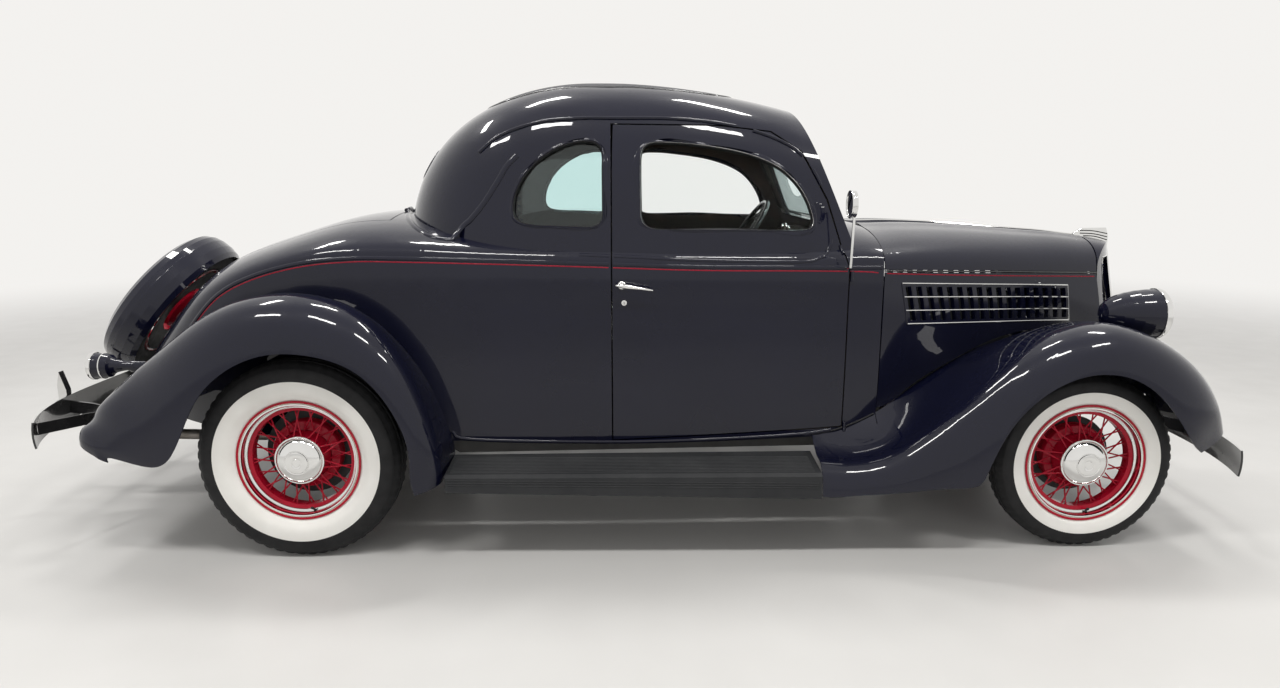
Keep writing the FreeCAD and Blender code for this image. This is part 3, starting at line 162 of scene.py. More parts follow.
matRubber = makeFinish("boardRubber", ((0.02, 0.021, 0.023), (0.03, 0.031, 0.033)), 7, (0.5, 0.66), 34,
    bump=(0.25, 380), specular=0.22)
sealRubber = makeFinish("sealRubber", ((0.01, 0.01, 0.011), (0.016, 0.016, 0.017)), 30, (0.45, 0.6), 60,
    bump=(0.1, 420), specular=0.22)
roofCloth = makeFinish("roofCloth", ((0.006, 0.007, 0.012), (0.01, 0.011, 0.017)), 30, (0.42, 0.55), 90,
    bump=(0.3, 220), weave=True)
seatCloth = makeFinish("seatCloth", ((0.105, 0.088, 0.07), (0.15, 0.128, 0.104)), 24, (0.8, 0.92), 90,
    bump=(0.55, 260), weave=True, sheen=0.35, sheenRough=0.45)
trimCloth = makeFinish("trimCloth", ((0.03, 0.025, 0.02), (0.046, 0.038, 0.03)), 20, (0.78, 0.9), 90,
    bump=(0.5, 240), weave=True)
carpet = makeFinish("carpet", ((0.02, 0.018, 0.017), (0.034, 0.03, 0.028)), 60, (0.88, 0.97), 90,
    bump=(0.8, 1400))
garnish = makeFinish("windowGarnish", ((0.03, 0.014, 0.009), (0.052, 0.024, 0.014)), 18, (0.3, 0.42), 40,
    bump=(0.1, 120), stretch=(1, 14, 14), coat=0.4, coatRough=0.1)
steelGrey = makeFinish("steelGrey", ((0.16, 0.16, 0.16), (0.24, 0.235, 0.23)), 12, (0.35, 0.55), 30,
    metal=0.85, bump=(0.1, 250))
ironGreen = makeFinish("engineIron", ((0.03, 0.034, 0.032), (0.052, 0.056, 0.052)), 12, (0.42, 0.6), 30,
    metal=0.2, bump=(0.3, 240))
exhaustSteel = makeFinish("exhaustSteel", ((0.16, 0.13, 0.11), (0.26, 0.24, 0.22)), 14, (0.35, 0.6), 26,
    metal=0.8, bump=(0.2, 200))
glass = makeFinish("windowGlass", ((0.76, 0.925, 0.92), (0.79, 0.94, 0.935)), 2, (0, 0), 5, clear=1,
    ior=1.42)
clearGlass = makeFinish("doorGlass", ((0.955, 0.975, 0.972), (0.97, 0.985, 0.982)), 2, (0, 0), 5, clear=1,
    ior=1.12)
lensGlass = makeFinish("lensGlass", ((0.93, 0.95, 0.94), (0.97, 0.98, 0.97)), 20, (0.02, 0.06), 60,
    bump=(0.5, 260), stretch=(0.05, 1, 0.05), clear=1, ior=1.45)
redLens = makeFinish("redLens", ((0.42, 0.008, 0.01), (0.5, 0.011, 0.013)), 20, (0.05, 0.1), 60,
    bump=(0.3, 300), coat=1, coatRough=0.03)
blackEnamel = makeFinish("blackEnamel", ((0.008, 0.008, 0.009), (0.013, 0.013, 0.014)), 10, (0.18, 0.28),
    30, bump=(0.02, 300), coat=0.6, coatRough=0.06)
dialFace = makeFinish("dialFace", ((0.46, 0.43, 0.36), (0.52, 0.49, 0.42)), 60, (0.4, 0.5), 60)
# Cream finish for the lamp bulbs and for a painted highlight line on the wheel rims' lips
creamBulbAndHighlight = makeFinish("creamLine", ((0.66, 0.62, 0.53), (0.72, 0.68, 0.58)), 30, (0.3, 0.4), 60)

finishOf = {"roof_insert": roofCloth, "floor_pan": carpet, "window_glass": glass, "engine": ironGreen,
    "running_boards": matRubber, "springs": steelGrey, "exhaust": exhaustSteel, "lamp_lenses": lensGlass,
    "seat_cushions": seatCloth, "dashboard": garnish, "spare_wheel": redEnamel, "spare_tyre": rubber}
finishGroups = ((chrome, ("grille", "hood_hinge", "bumper_front", "bumper_rear", "mirror_left",
    "mirror_right")), (blackEnamel, ("fuel_tank", "bumper_irons", "steering_column", "steering_wheel")),
    (clearGlass, ("door_glass_left", "door_glass_right")),
    (chassisBlack, ("radiator", "chassis", "front_axle", "rear_axle", "wishbone", "knuckle_left",
    "knuckle_right", "tie_rod")))
for mat, names in finishGroups:
    finishOf.update(dict.fromkeys(names, mat))
for corner in ("front_left", "front_right", "rear_left", "rear_right"):
    finishOf.update({"wheel_" + corner: redEnamel, "tyre_" + corner: rubber, "hub_" + corner: redEnamel})
bodyOf = {}
for body, members in frame["record"]["behaviour"]["bodies"].items():
    bodyOf.update(dict.fromkeys(members, body))
for name, piece in nodes.items():
    for part in piece.material_slots:
        part.material = finishOf.get(name, paint)
print("finishes on", len(nodes), "nodes")


# Mesh helpers

def toMesh(bm, name, mats, sharp=38, evenNormals=True):
    if evenNormals:
        bmesh.ops.recalc_face_normals(bm, faces=bm.faces[:])
    for edge in bm.edges:
        if len(edge.link_faces) == 2 and edge.calc_face_angle(0.0) > math.radians(sharp):
            edge.smooth = False
    mesh = bpy.data.meshes.new(name)
    bm.to_mesh(mesh)
    bm.free()
    for poly in mesh.polygons:
        poly.use_smooth = True
    for mat in mats:
        mesh.materials.append(mat)
    return mesh


def place(mesh, name, body, matrix=None):
    piece = newObject(name, mesh)
    if matrix is not None:
        piece.matrix_world = matrix
    if body:
        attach(piece, body)
    return piece


def titled(label):
    return label.title().replace("_", "")


def smoothLine(points, step=0.015, loop=False):
    line = [Vector(p) for p in points]
    if loop:
        ends = [line[-1]] + line + [line[0], line[1]]
    else:
        ends = [line[0] * 2 - line[1]] + line + [line[-1] * 2 - line[-2]]
    out = []
    for k in range(len(ends) - 3):
        a, b, c, d = ends[k:k + 4]
        count = max(2, int((c - b).length / step))
        for j in range(count):
            t = j / count
            out.append(0.5 * (2 * b + (c - a) * t + (2 * a - 5 * b + 4 * c - d) * t * t
                + (3 * b - a - 3 * c + d) * t ** 3))
    return out if loop else out + [line[-1]]


# Direction of a line at its point k
def heading(line, k):
    return (line[min(k + 1, len(line) - 1)] - line[max(k - 1, 0)]).normalized()


# Faces between neighbouring rows; zones holds a material number for each strip
def joinRows(bm, rows, closeRows=True, closePoints=True, zones=None):
    for k in range(len(rows) if closeRows else len(rows) - 1):
        near, far = rows[k], rows[(k + 1) % len(rows)]
        for j in range(len(near) if closePoints else len(near) - 1):
            j2 = (j + 1) % len(near)
            face = bm.faces.new((near[j], near[j2], far[j2], far[j]))
            if zones:
                face.material_index = zones[j]


# Turn an (r, y) outline in millimetres about Y
def lathe(name, profile, mat, steps=96, closeLoop=False):
    bm = bmesh.new()
    rings = []
    for k in range(steps):
        a = 2 * math.pi * k / steps
        rings.append([bm.verts.new((r * math.cos(a), y, r * math.sin(a))) for r, y in inMetres(profile)])
    joinRows(bm, rings, True, closeLoop)
    bmesh.ops.remove_doubles(bm, verts=bm.verts[:], dist=1e-6)
    return toMesh(bm, name, [mat])


# Carry an (across, out) outline along frames of (point, across, out)
def sweep(name, frames, profile, mat, body, loop=False):
    bm = bmesh.new()
    rows = [[bm.verts.new(spot + across * u + out * v) for u, v in profile]
        for spot, across, out in frames]
    joinRows(bm, rows, loop)
    if not loop:
        bm.faces.new(rows[0])
        bm.faces.new(rows[-1])
    place(toMesh(bm, name, [mat], 50), name, body)


# Outline of a raised line, from the width and height in its dictionary
def halfRound(spec, steps=6):
    width, height, sink = spec["width"], spec["height"], spec.get("sink", 0.0006)
    line = [(-width / 2, -sink)]
    for k in range(steps + 1):
        a = math.pi * (1 - k / steps)
        line.append((width / 2 * math.cos(a), height * math.sin(a)))
    return line + [(width / 2, -sink)]


# Round bar along points, with one radius for each
def tube(name, points, radii, mat, body, steps=14, step=0.008):
    line = smoothLine(points, step)
    spread = smoothLine([Vector((r, 0, 0)) for r in radii], 1.0)
    marks = [0.0]
    for p, q in zip(line, line[1:]):
        marks.append(marks[-1] + (q - p).length)
    bm = bmesh.new()
    rows = []
    side = None
    for k, p in enumerate(line):
        along = heading(line, k)
        if side is None:
            side = along.orthogonal().normalized()
        side = (side - along * side.dot(along)).normalized()
        other = along.cross(side)
        want = marks[k] / marks[-1] * (len(spread) - 1)
        low = min(int(want), len(spread) - 2)
        r = spread[low].x + (spread[low + 1].x - spread[low].x) * (want - low)
        rows.append([bm.verts.new(p + side * (r * math.cos(a)) + other * (r * math.sin(a)))
            for a in [2 * math.pi * j / steps for j in range(steps)]])
    joinRows(bm, rows, False)
    for row, p in ((rows[0], line[0]), (rows[-1], line[-1])):
        hub = bm.verts.new(p)
        for j in range(steps):
            bm.faces.new((row[j], row[(j + 1) % steps], hub))
    place(toMesh(bm, name, [mat], 60), name, body)


surfaceOf = {}


def surface(name):
    if name not in surfaceOf:
        mesh = nodes[name].data
        surfaceOf[name] = BVHTree.FromPolygons([v.co.copy() for v in mesh.vertices],
            [tuple(p.vertices) for p in mesh.polygons])
    return surfaceOf[name]


# Nearest surface point, or the first one along reach, as (point, normal, node, distance)
def touch(point, names, reach=None):
    best = None
    for name in names:
        hit = surface(name).find_nearest(point) if reach is None else surface(name).ray_cast(point, reach)
        if hit[0] is not None and (best is None or hit[3] < best[3]):
            best = (hit[0], hit[1], name, hit[3])
    return best


sideStart = 1300  # further out than any piece


# Where a line from the side meets a node
def sideHit(x, z, side, node):
    return touch(at(x, side * sideStart, z), [node], inward(side))


# Raised line laid on the nodes; it breaks where it passes from one node to another
def layBead(name, points, names, spec, mat, reach=None, step=0.015):
    runs = []
    previous = None
    for p in smoothLine(points, step):
        hit = touch(p, names) if reach is None else touch(p - reach * 1.5, names, reach)
        if hit is None:
            previous = None
            continue
        if hit[2] != previous:
            runs.append((hit[2], []))
        previous = hit[2]
        runs[-1][1].append(hit[:2])
    runs = [(node, run) for node, run in runs if len(run) > 2]
    for count, (node, run) in enumerate(runs):
        line = [hit[0] for hit in run]
        frames = []
        for k, (spot, normal) in enumerate(run):
            if reach is not None and normal.dot(reach) > 0:
                normal = -normal
            frames.append((spot, heading(line, k).cross(normal).normalized(), normal))
        sweep("%s_%s_%d" % (name, node, count), frames, halfRound(spec), mat, bodyOf[node])


# Wheels

tyre = {"frontRadius": 326, "rearRadius": 362, "frontWidth": 128, "rearWidth": 154, "spareWidth": 140,
    "frontTrack": 705, "rearTrack": 740, "frontDrum": 122, "rearDrum": 126, "frontWhite": 270,
    "rearWhite": 295, "whiteInner": 218, "whiteRise": 0.9, "rimRadius": 203, "steps": 168,
    "ribs": (0.5, 0.48, 0.34, 0.32, 0.16, 0.14, 0.0), "grooveDepth": 5.0, "notchDepth": 4.5}


def tyreMesh(name, radius, width, whiteOuter):
    half = width / 2
    foot = tyre["rimRadius"]
    bulge = radius - foot
    guide = [(205, 40), (206.5, 43), (222, 48.5), (229, 55), (foot + bulge * 0.32, half * 0.93),
        (foot + bulge * 0.5, half), (foot + bulge * 0.68, half * 0.985), (radius - bulge * 0.16,
        half * 0.88), (radius - 6, half * 0.66)]
    rows = []
    for p in smoothLine([Vector((r / 1000, y / 1000, 0)) for r, y in guide], 0.004):
        isWhite = tyre["whiteInner"] <= p.x * 1000 <= whiteOuter
        rows.append((p.x * 1000, p.y * 1000 + (tyre["whiteRise"] if isWhite else 0.0), isWhite))
    for k, share in enumerate(tyre["ribs"]):
        deep = k % 4 in (1, 2)
        rows.append((radius - (tyre["grooveDepth"] if deep else 0.0), half * share, False))
    profile = rows + [(r, -y, isWhite) for r, y, isWhite in reversed(rows[:-1])]
    bm = bmesh.new()
    rings = []
    for k in range(tyre["steps"]):
        a = 2 * math.pi * k / tyre["steps"]
        ring = []
        for r, y, isWhite in profile:
            if k % 3 == 0 and abs(y) > half * 0.44 and r > radius - bulge * 0.13:
                r -= tyre["notchDepth"]
            ring.append(bm.verts.new((r * math.cos(a) / 1000, y / 1000, r * math.sin(a) / 1000)))
        rings.append(ring)
    zones = [int(p[2] and q[2] and p[1] > 0) for p, q in zip(profile, profile[1:])]
    joinRows(bm, rings, True, False, zones)
    return toMesh(bm, name, [rubber, whiteRubber], 32)


trimRing = lathe("trimRing", [(210, 51.4), (209, 54.2), (206.5, 55.2), (204, 54.4), (203, 51),
    (201.5, 46), (198.8, 40), (198.0, 34), (196.6, 30.4), (193.5, 28.6), (190.5, 29.6), (189.5, 27.4),
    (191, 25.6), (198.4, 27), (199.6, 34), (200.6, 44), (204, 50.2)], chrome, 96, True)
# A thin cream ring on the rim lip: a painted highlight
creamLine = lathe("creamLine", [(212.6, 52.3), (211.2, 51.8), (210.6, 51.2), (212.2, 51.0)], creamBulbAndHighlight, 96,
    True)
capMesh = lathe("hubCap", [(0, 79.0), (14, 78.8), (15, 77.9), (17, 77.9), (18, 78.6), (30, 78.0),
    (39, 76.6), (40.5, 74.4), (42.5, 74.2), (44.5, 75.6), (52, 73.6), (62, 69.2), (71, 63.4), (78, 56.6),
    (82, 50.8), (83, 48.4), (85, 47.6), (87, 48.0), (88, 46.4), (87, 44.6), (80, 44.4)], chrome)


def drumMesh(name, r):
    profile = [(93, -71), (r, -71), (r, -66), (r - 3, -64), (r - 3, -58), (r, -56), (r, -34),
        (r - 4, -28), (r - 14, -25.5), (r - 17, -22.5), (100, -21), (97, -18.5), (95, -17.9), (93, -22)]
    return lathe(name, profile, redEnamel, 96, True)


valve = lathe("valveStem", [(0, 0), (4, 0), (4, 12), (5, 13), (5, 17), (3.5, 18), (3.5, 22), (0, 23)],
    sealRubber, 16)
for end, x in (("front", frontAxle), ("rear", 0)):
    tyreShape = tyreMesh("tyre" + titled(end), tyre[end + "Radius"], tyre[end + "Width"],
        tyre[end + "White"])
    drumShape = drumMesh("drum" + titled(end), tyre[end + "Drum"])
    for side, hand, mark in sides:
        corner = end + "_" + hand
        label = titled(corner)
        body = "wheel_" + corner
        spot = Matrix.Translation(at(x, side * tyre[end + "Track"], tyre[end + "Radius"]))
        if side < 0:
            spot = spot @ turned(180, "Z")
        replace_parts(place(tyreShape, "tyre" + label, body, spot), "tyre_" + corner)
        place(trimRing, "trimRing" + label, body, spot)
        place(creamLine, "creamLine" + label, body, spot)
        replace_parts(place(drumShape, "drum" + label, body, spot), "hub_" + corner)
        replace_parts(place(capMesh, "hubCap" + label, body, spot), "hub_" + corner)
        stem = spot @ turned(100, "Y") @ Matrix.Translation((0.193, 0.03, 0)) @ turned(35, "Z")
        place(valve, "valve" + label, body, stem)

# Spare wheel with its cover, on the deck lid
spare = {"centre": (-800, 0, 815), "slope": 52, "coverBeads": ((336.6, 4), (335.6, -18), (333.2, -40))}
spareSpot = Matrix.Translation(at(*spare["centre"])) @ turned(-spare["slope"], "Y") @ turned(90, "X")
spareTyre = place(tyreMesh("tyreSpareMesh", tyre["frontRadius"], tyre["spareWidth"], 0), "tyreSpare",
    "deck_lid", spareSpot)
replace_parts(spareTyre, "spare_tyre")
for label, mesh in (("trimRingSpare", trimRing), ("creamLineSpare", creamLine), ("hubCapSpare", capMesh)):
    place(mesh, label, "deck_lid", spareSpot)
for k, (r, y) in enumerate(spare["coverBeads"]):
    bead = lathe("coverBead%d" % k, [(r - 1.5, y - 5), (r + 0.6, y - 4), (r + 2.0, y - 1.5),
        (r + 2.0, y + 1.5), (r + 0.6, y + 4), (r - 1.5, y + 5)], paint, 120, True)
    place(bead, "coverBead%d" % k, "deck_lid", spareSpot)
# Painted shade: a dark ring over the back of the spare's rim, so the red wheel behind the tyre reads as
# shaded
place(lathe("spareRimBack", [(112, -44), (150, -50), (190, -54), (207, -55), (207, -57), (188, -56),
    (148, -52), (112, -46)], sealRubber, 96, True), "spareRimBack", "deck_lid", spareSpot)
place(lathe("coverTrim", [(236, 66), (238, 69.5), (242, 71.6), (247, 71.4), (249, 70), (240, 65.5)],
    chrome, 120, True), "coverTrim", "deck_lid", spareSpot)
print("wheels dressed")

# Lines along the body, as (x, z) seen from the side
stripe = {"width": 0.0042, "height": 0.0004, "line": [(3092, 951), (2900, 961), (2600, 977), (2300, 995),
    (2112, 1008), (2063, 1014), (1980, 1018), (1792, 1022), (1432, 1026), (1074, 1038), (718, 1049),
    (363, 1057), (186, 1057), (7, 1039), (-173, 993), (-322, 922), (-439, 813), (-541, 695)]}
beltBead = {"width": 0.015, "height": 0.0038, "line": [(2100, 1030), (2063, 1031), (1792, 1035),
    (1432, 1039), (1074, 1051), (718, 1062), (363, 1070), (186, 1070), (7, 1052), (-173, 1006),
    (-322, 935), (-439, 826), (-520, 725)]}
windowBead = {"width": 0.013, "height": 0.0034, "line": [(1000, 1082), (1217, 1073), (1432, 1062),
    (1791, 1055), (1860, 1066), (1891, 1080), (1908, 1104), (1913, 1133)]}
drip = {"width": 0.012, "height": 0.009, "line": [(640, 1440), (720, 1500), (860, 1545), (1000, 1558),
    (1119, 1559), (1361, 1556), (1575, 1529), (1754, 1466), (1843, 1378), (1914, 1220), (1955, 1079)]}
sill = {"width": 0.014, "height": 0.0042, "line": [(521, 427), (593, 396), (1088, 384), (1438, 388),
    (1807, 404), (1936, 419)]}
roofSkirt = {"width": 0.022, "height": 0.006, "line": [(780, 600, 1430), (742, 610, 1395),
    (707, 620, 1343), (668, 628, 1290), (640, 630, 1256), (600, 632, 1215), (555, 628, 1185),
    (510, 615, 1165), (460, 590, 1155), (410, 540, 1160), (372, 480, 1172), (330, 380, 1196),
    (300, 260, 1215), (288, 130, 1224), (284, 0, 1226)]}
bootBead = {"width": 0.007, "height": 0.004, "front": [(1864, 404), (1945, 417), (2030, 446),
    (2100, 476)], "rear": [(518, 300), (517, 405), (482, 520), (438, 622), (378, 720), (275, 826),
    (120, 908), (-60, 925), (-205, 888), (-325, 826), (-445, 742), (-560, 648), (-640, 575)]}
for side, hand, mark in sides:
    skins = ["body_shell", "door_" + hand, "hood_side_" + hand]
    for label, spec, mat in (("pinstripe", stripe, stripeRed), ("beltBead", beltBead, paint),
            ("windowBead", windowBead, paint), ("dripRail", drip, paint), ("sillBead", sill, paint)):
        layBead(label + mark, seenLine(spec["line"]), skins, spec, mat, inward(side))
    layBead("roofSkirt" + mark, [at(x, side * y, z) for x, y, z in roofSkirt["line"]], ["body_shell"],
        roofSkirt, paint)
    for end in ("front", "rear"):
        layBead("welt" + titled(end) + mark, seenLine(bootBead[end]), ["body_shell"], bootBead,
            sealRubber, inward(side))
print("body lines laid")

# Windows: a reveal with a dark rubber lip round each opening
reveal = {"bead": [(0.6, -1.0), (0.8, 1.8), (2.2, 3.2), (4.4, 3.0), (6.6, 1.2), (7.4, -1.0)],
    "bright": [(-0.6, -1.0), (-0.5, 1.4), (0.4, 2.2), (1.3, 1.6), (1.5, -1.0)], "rubber": [(0.6, 1.2),
    (-1.6, 0.8), (-3.6, -0.8), (-4.4, -5.0), (-4.6, -16.5), (1.0, -16.5)], "lap": 6.0, "flange": 1.1,
    "halvings": 14, "evenings": 6}
frontPane = [(1214, 1210), (1212, 1262), (1211, 1320), (1211, 1380), (1213, 1432), (1224, 1462),
    (1252, 1477), (1300, 1479), (1360, 1477), (1430, 1472), (1500, 1464), (1570, 1451), (1645, 1428),
    (1714, 1396), (1764, 1359), (1804, 1312), (1832, 1262), (1849, 1210), (1850, 1184), (1836, 1167),
    (1800, 1162), (1700, 1161), (1600, 1162), (1500, 1163), (1400, 1164), (1310, 1165), (1258, 1168),
    (1228, 1182)]
quarterPane = [(1089, 1215), (1089, 1260), (1089, 1320), (1089, 1380), (1088, 1430), (1078, 1466),
    (1048, 1482), (1000, 1481), (945, 1468), (895, 1444), (846, 1409), (808, 1368), (780, 1322),
    (764, 1278), (759, 1236), (767, 1206), (790, 1190), (830, 1182), (880, 1179), (940, 1177),
    (1000, 1175), (1046, 1175), (1075, 1186)]


# Frames round an opening: from its middle, each ray is moved out until it meets the outer skin.
# spans takes, for each frame, how far the guide lies inside that edge.
def openingFrames(middle, guide, reach, names, isSkin, spans=None):
    frames = []
    for p in guide:
        out = p - middle
        span = out.length
        out.normalize()
        low, high = span * 0.55, span * 1.25 + 0.02
        found = None
        for again in range(reveal["halvings"]):
            mid = (low + high) / 2
            hit = touch(middle + out * mid - reach * 1.2, names, reach)
            if hit is not None and isSkin(hit[0], hit[1]):
                high = mid
                found = hit
            else:
                low = mid
        if found is None:
            continue
        normal = found[1] if found[1].dot(reach) < 0 else -found[1]
        frames.append((found[0], (out - normal * out.dot(normal)).normalized(), normal))
        if spans is not None:
            spans.append(high - span)
    return frames


def evenedSpans(values):
    return [(values[k - 1] + 2 * values[k] + values[(k + 1) % len(values)]) / 4
        for k in range(len(values))]


# Average the depth and the directions of neighbouring frames; the line seen from the side stays
def evened(frames):
    out = []
    for k, (spot, across, normal) in enumerate(frames):
        before, after = frames[k - 1], frames[(k + 1) % len(frames)]
        newSpot = Vector((spot.x, (before[0].y + 2 * spot.y + after[0].y) / 4, spot.z))
        newNormal = (before[2] + 2 * normal + after[2]).normalized()
        newAcross = before[1] + 2 * across + after[1]
        out.append((newSpot, (newAcross - newNormal * newAcross.dot(newNormal)).normalized(), newNormal))
    return out


# A painted flange runs from the even inner line to past the edge of the hole.
# The bead, the bright line and the rubber follow it.
def dressOpening(name, frames, body, spans=None, brightMat=paint):
    if spans:
        short = min(spans)
        frames = [(spot - across * (gap - short), across, out) for (spot, across, out), gap in zip(frames,
            spans)]
        for again in range(reveal["evenings"]):
            frames, spans = evened(frames), evenedSpans(spans)
        bm = bmesh.new()
        rows = []
        high = reveal["flange"] / 1000
        for (spot, across, out), gap in zip(frames, spans):
            wide = gap - short + reveal["lap"] / 1000
            line = ((0.0, -0.004), (0.0, high * 0.5), (0.001, high), (wide - 0.002, high),
                (wide, -0.0004), (wide, -0.004))
            rows.append([bm.verts.new(spot + across * u + out * v) for u, v in line])
        joinRows(bm, rows)
        place(toMesh(bm, name + "Flange", [paint], 50), name + "Flange", body)
    for label, mat in (("bead", paint), ("bright", brightMat), ("rubber", sealRubber)):
        sweep(name + titled(label), frames, inMetres(reveal[label]), mat, body, True)


# Points round a box with rounded corners, two units across
def boxLine(count, power):
    out = []
    for k in range(count):
        a = 2 * math.pi * k / count
        out.append([math.copysign(abs(t) ** power, t) for t in (math.cos(a), math.sin(a))])
    return out


for side, hand, mark in sides:
    for label, line, node, brightMat in (("doorWindow", frontPane, "door_" + hand, chrome),
            ("quarterWindow", quarterPane, "body_shell", paint)):
        guide = smoothLine(seenLine(line), 0.012, True)
        middle = sum(guide, Vector()) / len(guide)
        spans = []
        frames = openingFrames(middle, guide, inward(side), [node], lambda spot, normal, side=side: spot.y
            * side > 0.4 and abs(normal.y) > 0.25, spans)
        dressOpening(label + mark, frames, bodyOf[node], spans, brightMat)

# Windscreen: its corners as distance across the car and distance up the glass
screen = {"foot": (1990, 0, 1128), "head": (1824, 0, 1529), "middleUp": 0.232, "steps": 12,
    "outline": ((528, 72), (500, 232), (470, 392), (235, 392), (0, 392), (-235, 392), (-470, 392),
    (-500, 232), (-528, 72), (-264, 72), (0, 72), (264, 72))}
screenFoot = at(*screen["foot"])
lean = (at(*screen["head"]) - screenFoot).normalized()
screenOut = Vector((lean.z, 0, -lean.x))
corners = [screenFoot + lean * (up / 1000) + Vector((0, y / 1000, 0)) for y, up in screen["outline"]]
screenLine = []
for k, p in enumerate(corners):
    q = corners[(k + 1) % len(corners)]
    screenLine += [p + (q - p) * (j / screen["steps"]) for j in range(screen["steps"])]
dressOpening("windscreen", openingFrames(screenFoot + lean * screen["middleUp"], screenLine, -screenOut,
    ["body_shell"], lambda spot, normal: (spot - screenFoot).dot(screenOut) > -0.05
    and normal.dot(screenOut) > 0.2), "body")
rearPane = {"x": 300, "z": 1400, "halfWidth": 285, "halfHeight": 68, "points": 96, "power": 0.7}
rearGuide = [at(rearPane["x"], rearPane["halfWidth"] * u, rearPane["z"] + rearPane["halfHeight"] * v)
    for u, v in boxLine(rearPane["points"], rearPane["power"])]
dressOpening("rearWindow", openingFrames(at(rearPane["x"], 0, rearPane["z"]), rearGuide, forward,
    ["body_shell"], lambda spot, normal: normal.x < -0.2), "body")

# Moulding round the roof insert
roofMoulding = {"x": 1105, "halfLength": 484, "halfWidth": 404, "above": 1900, "points": 72,
    "power": 0.45, "width": 0.012, "height": 0.0035}
roofEdge = [at(roofMoulding["x"] + roofMoulding["halfLength"] * u, roofMoulding["halfWidth"] * v,
    roofMoulding["above"]) for u, v in boxLine(roofMoulding["points"], roofMoulding["power"])]
roofFrames = []
for k, p in enumerate(roofEdge):
    hit = touch(p, ["body_shell", "roof_insert"], down)
    ahead = (roofEdge[(k + 1) % len(roofEdge)] - roofEdge[k - 1]).normalized()
    roofFrames.append((hit[0], ahead.cross(hit[1]).normalized(), hit[1]))
sweep("roofMoulding", roofFrames, halfRound(roofMoulding), blackEnamel, "body", True)
print("openings dressed")

# Door furniture
handle = {"points": [(1131, 26, 976), (1140, 29, 976), (1160, 31, 974), (1195, 30, 969), (1235, 28, 963),
    (1262, 25, 958)], "radii": [0.0035, 0.0085, 0.008, 0.006, 0.0046, 0.0026], "pivot": (1152, 973),
    "lock": (1160, 910), "hingeX": 1986, "hinges": (1000, 432)}
plateMesh = lathe("handlePlate", [(0, 5), (9, 5), (13, 3.6), (15, 1.2), (15, -1)], chrome, 40)
stemMesh = lathe("handleStem", [(0, 24), (6.4, 24), (6.0, 12), (7.6, 4), (7.6, 0)], chrome, 32)
lockMesh = lathe("doorLock", [(0, 4.6), (4.2, 4.6), (4.6, 3.6), (5.6, 3.6), (6.2, 5.0), (9.6, 4.0),
    (11, 1.6), (11, -1)], chrome, 40)
hingeMesh = lathe("hingeBarrel", [(0, -19), (5, -19), (6.5, -17.5), (6.5, -6.4), (6.0, -6.0), (6.0, 6.0),
    (6.5, 6.4), (6.5, 17.5), (5, 19), (0, 19)], paint, 24)
boltMesh = lathe("boltHead", [(0, 6.5), (5, 6.2), (9.5, 4.6), (12, 2.2), (12.6, -0.6)], chrome, 32)
slotBar = [(-0.0007, -0.0036), (0.0007, -0.0036), (0.0007, 0.0036), (-0.0007, 0.0036)]


# Matrix that lays a lathe's Y along a direction at a point
def facing(spot, out):
    return Matrix.Translation(spot) @ out.to_track_quat("Y", "Z").to_matrix().to_4x4()


for side, hand, mark in sides:
    door = "door_" + hand
    skinY = sideHit(*handle["pivot"], side, door)[0].y * 1000
    tube("doorHandle" + mark, [at(x, skinY + side * y, z) for x, y, z in handle["points"]],
        handle["radii"], chrome, door, 18, 0.004)
    for label, mesh, (x, z) in (("handlePlate", plateMesh, handle["pivot"]), ("handleStem", stemMesh,
            handle["pivot"]), ("doorLock", lockMesh, handle["lock"])):
        place(mesh, label + mark, door, facing(sideHit(x, z, side, door)[0], -inward(side)))
    lockSpot = sideHit(*handle["lock"], side, door)[0]
    key = [(lockSpot + Vector((0, side * y, 0)), forward, -down) for y in (0.003, 0.0051)]
    sweep("keySlot" + mark, key, slotBar, sealRubber, door)
    for k, z in enumerate(handle["hinges"]):
        spot = sideHit(handle["hingeX"], z, side, "body_shell")[0] + Vector((0, side * 0.004, 0))
        place(hingeMesh, "hingeBarrel%s%d" % (mark, k), "body", Matrix.Translation(spot) @ turned(90,
            "X"))

# Louvre panel: bright strips across, a bright front edge and a painted rear edge
louvres = {"top": ((2186, 968), (2954, 923)), "foot": ((2218, 814), (2980, 777)), "strips": 4,
    "width": 0.006, "height": 0.0032, "edgeHeight": 0.0034, "sink": 0.002, "bulge": 0.0012, "turn": 0.36,
    "points": 40, "edgePoints": 12}
for side, hand, mark in sides:
    node = "hood_side_" + hand
    out = Vector((louvres["turn"], side, 0)).normalized()

    def panelSpot(share, drop, node=node, side=side):
        ends = [sideHit(x0 + (x1 - x0) * share, z0 + (z1 - z0) * share, side, node)[0]
            for (x0, z0), (x1, z1) in (louvres["top"], louvres["foot"])]
        spot = ends[0] + (ends[1] - ends[0]) * drop
        return spot + Vector((0, side * louvres["bulge"] * math.sin(math.pi * drop), 0))

    stripLine = halfRound(louvres)
    for k in range(louvres["strips"]):
        line = [panelSpot(j / louvres["points"], k / (louvres["strips"] - 1))
            for j in range(louvres["points"] + 1)]
        frames = [(p, heading(line, j).cross(out).normalized(), out) for j, p in enumerate(line)]
        sweep("louvreStrip%s%d" % (mark, k), frames, stripLine, chrome, node)
    edgeLine = halfRound({**louvres, "height": louvres["edgeHeight"]})
    for label, share, mat in (("Front", 1.0, chrome), ("Rear", 0.0, paint)):
        line = [panelSpot(share, j / louvres["edgePoints"]) for j in range(louvres["edgePoints"] + 1)]
        ahead = (line[-1] - line[0]).normalized()
        sweep("louvreEdge%s%s" % (label, mark), [(p, ahead.cross(out).normalized(), out) for p in line],
            edgeLine, mat, node)

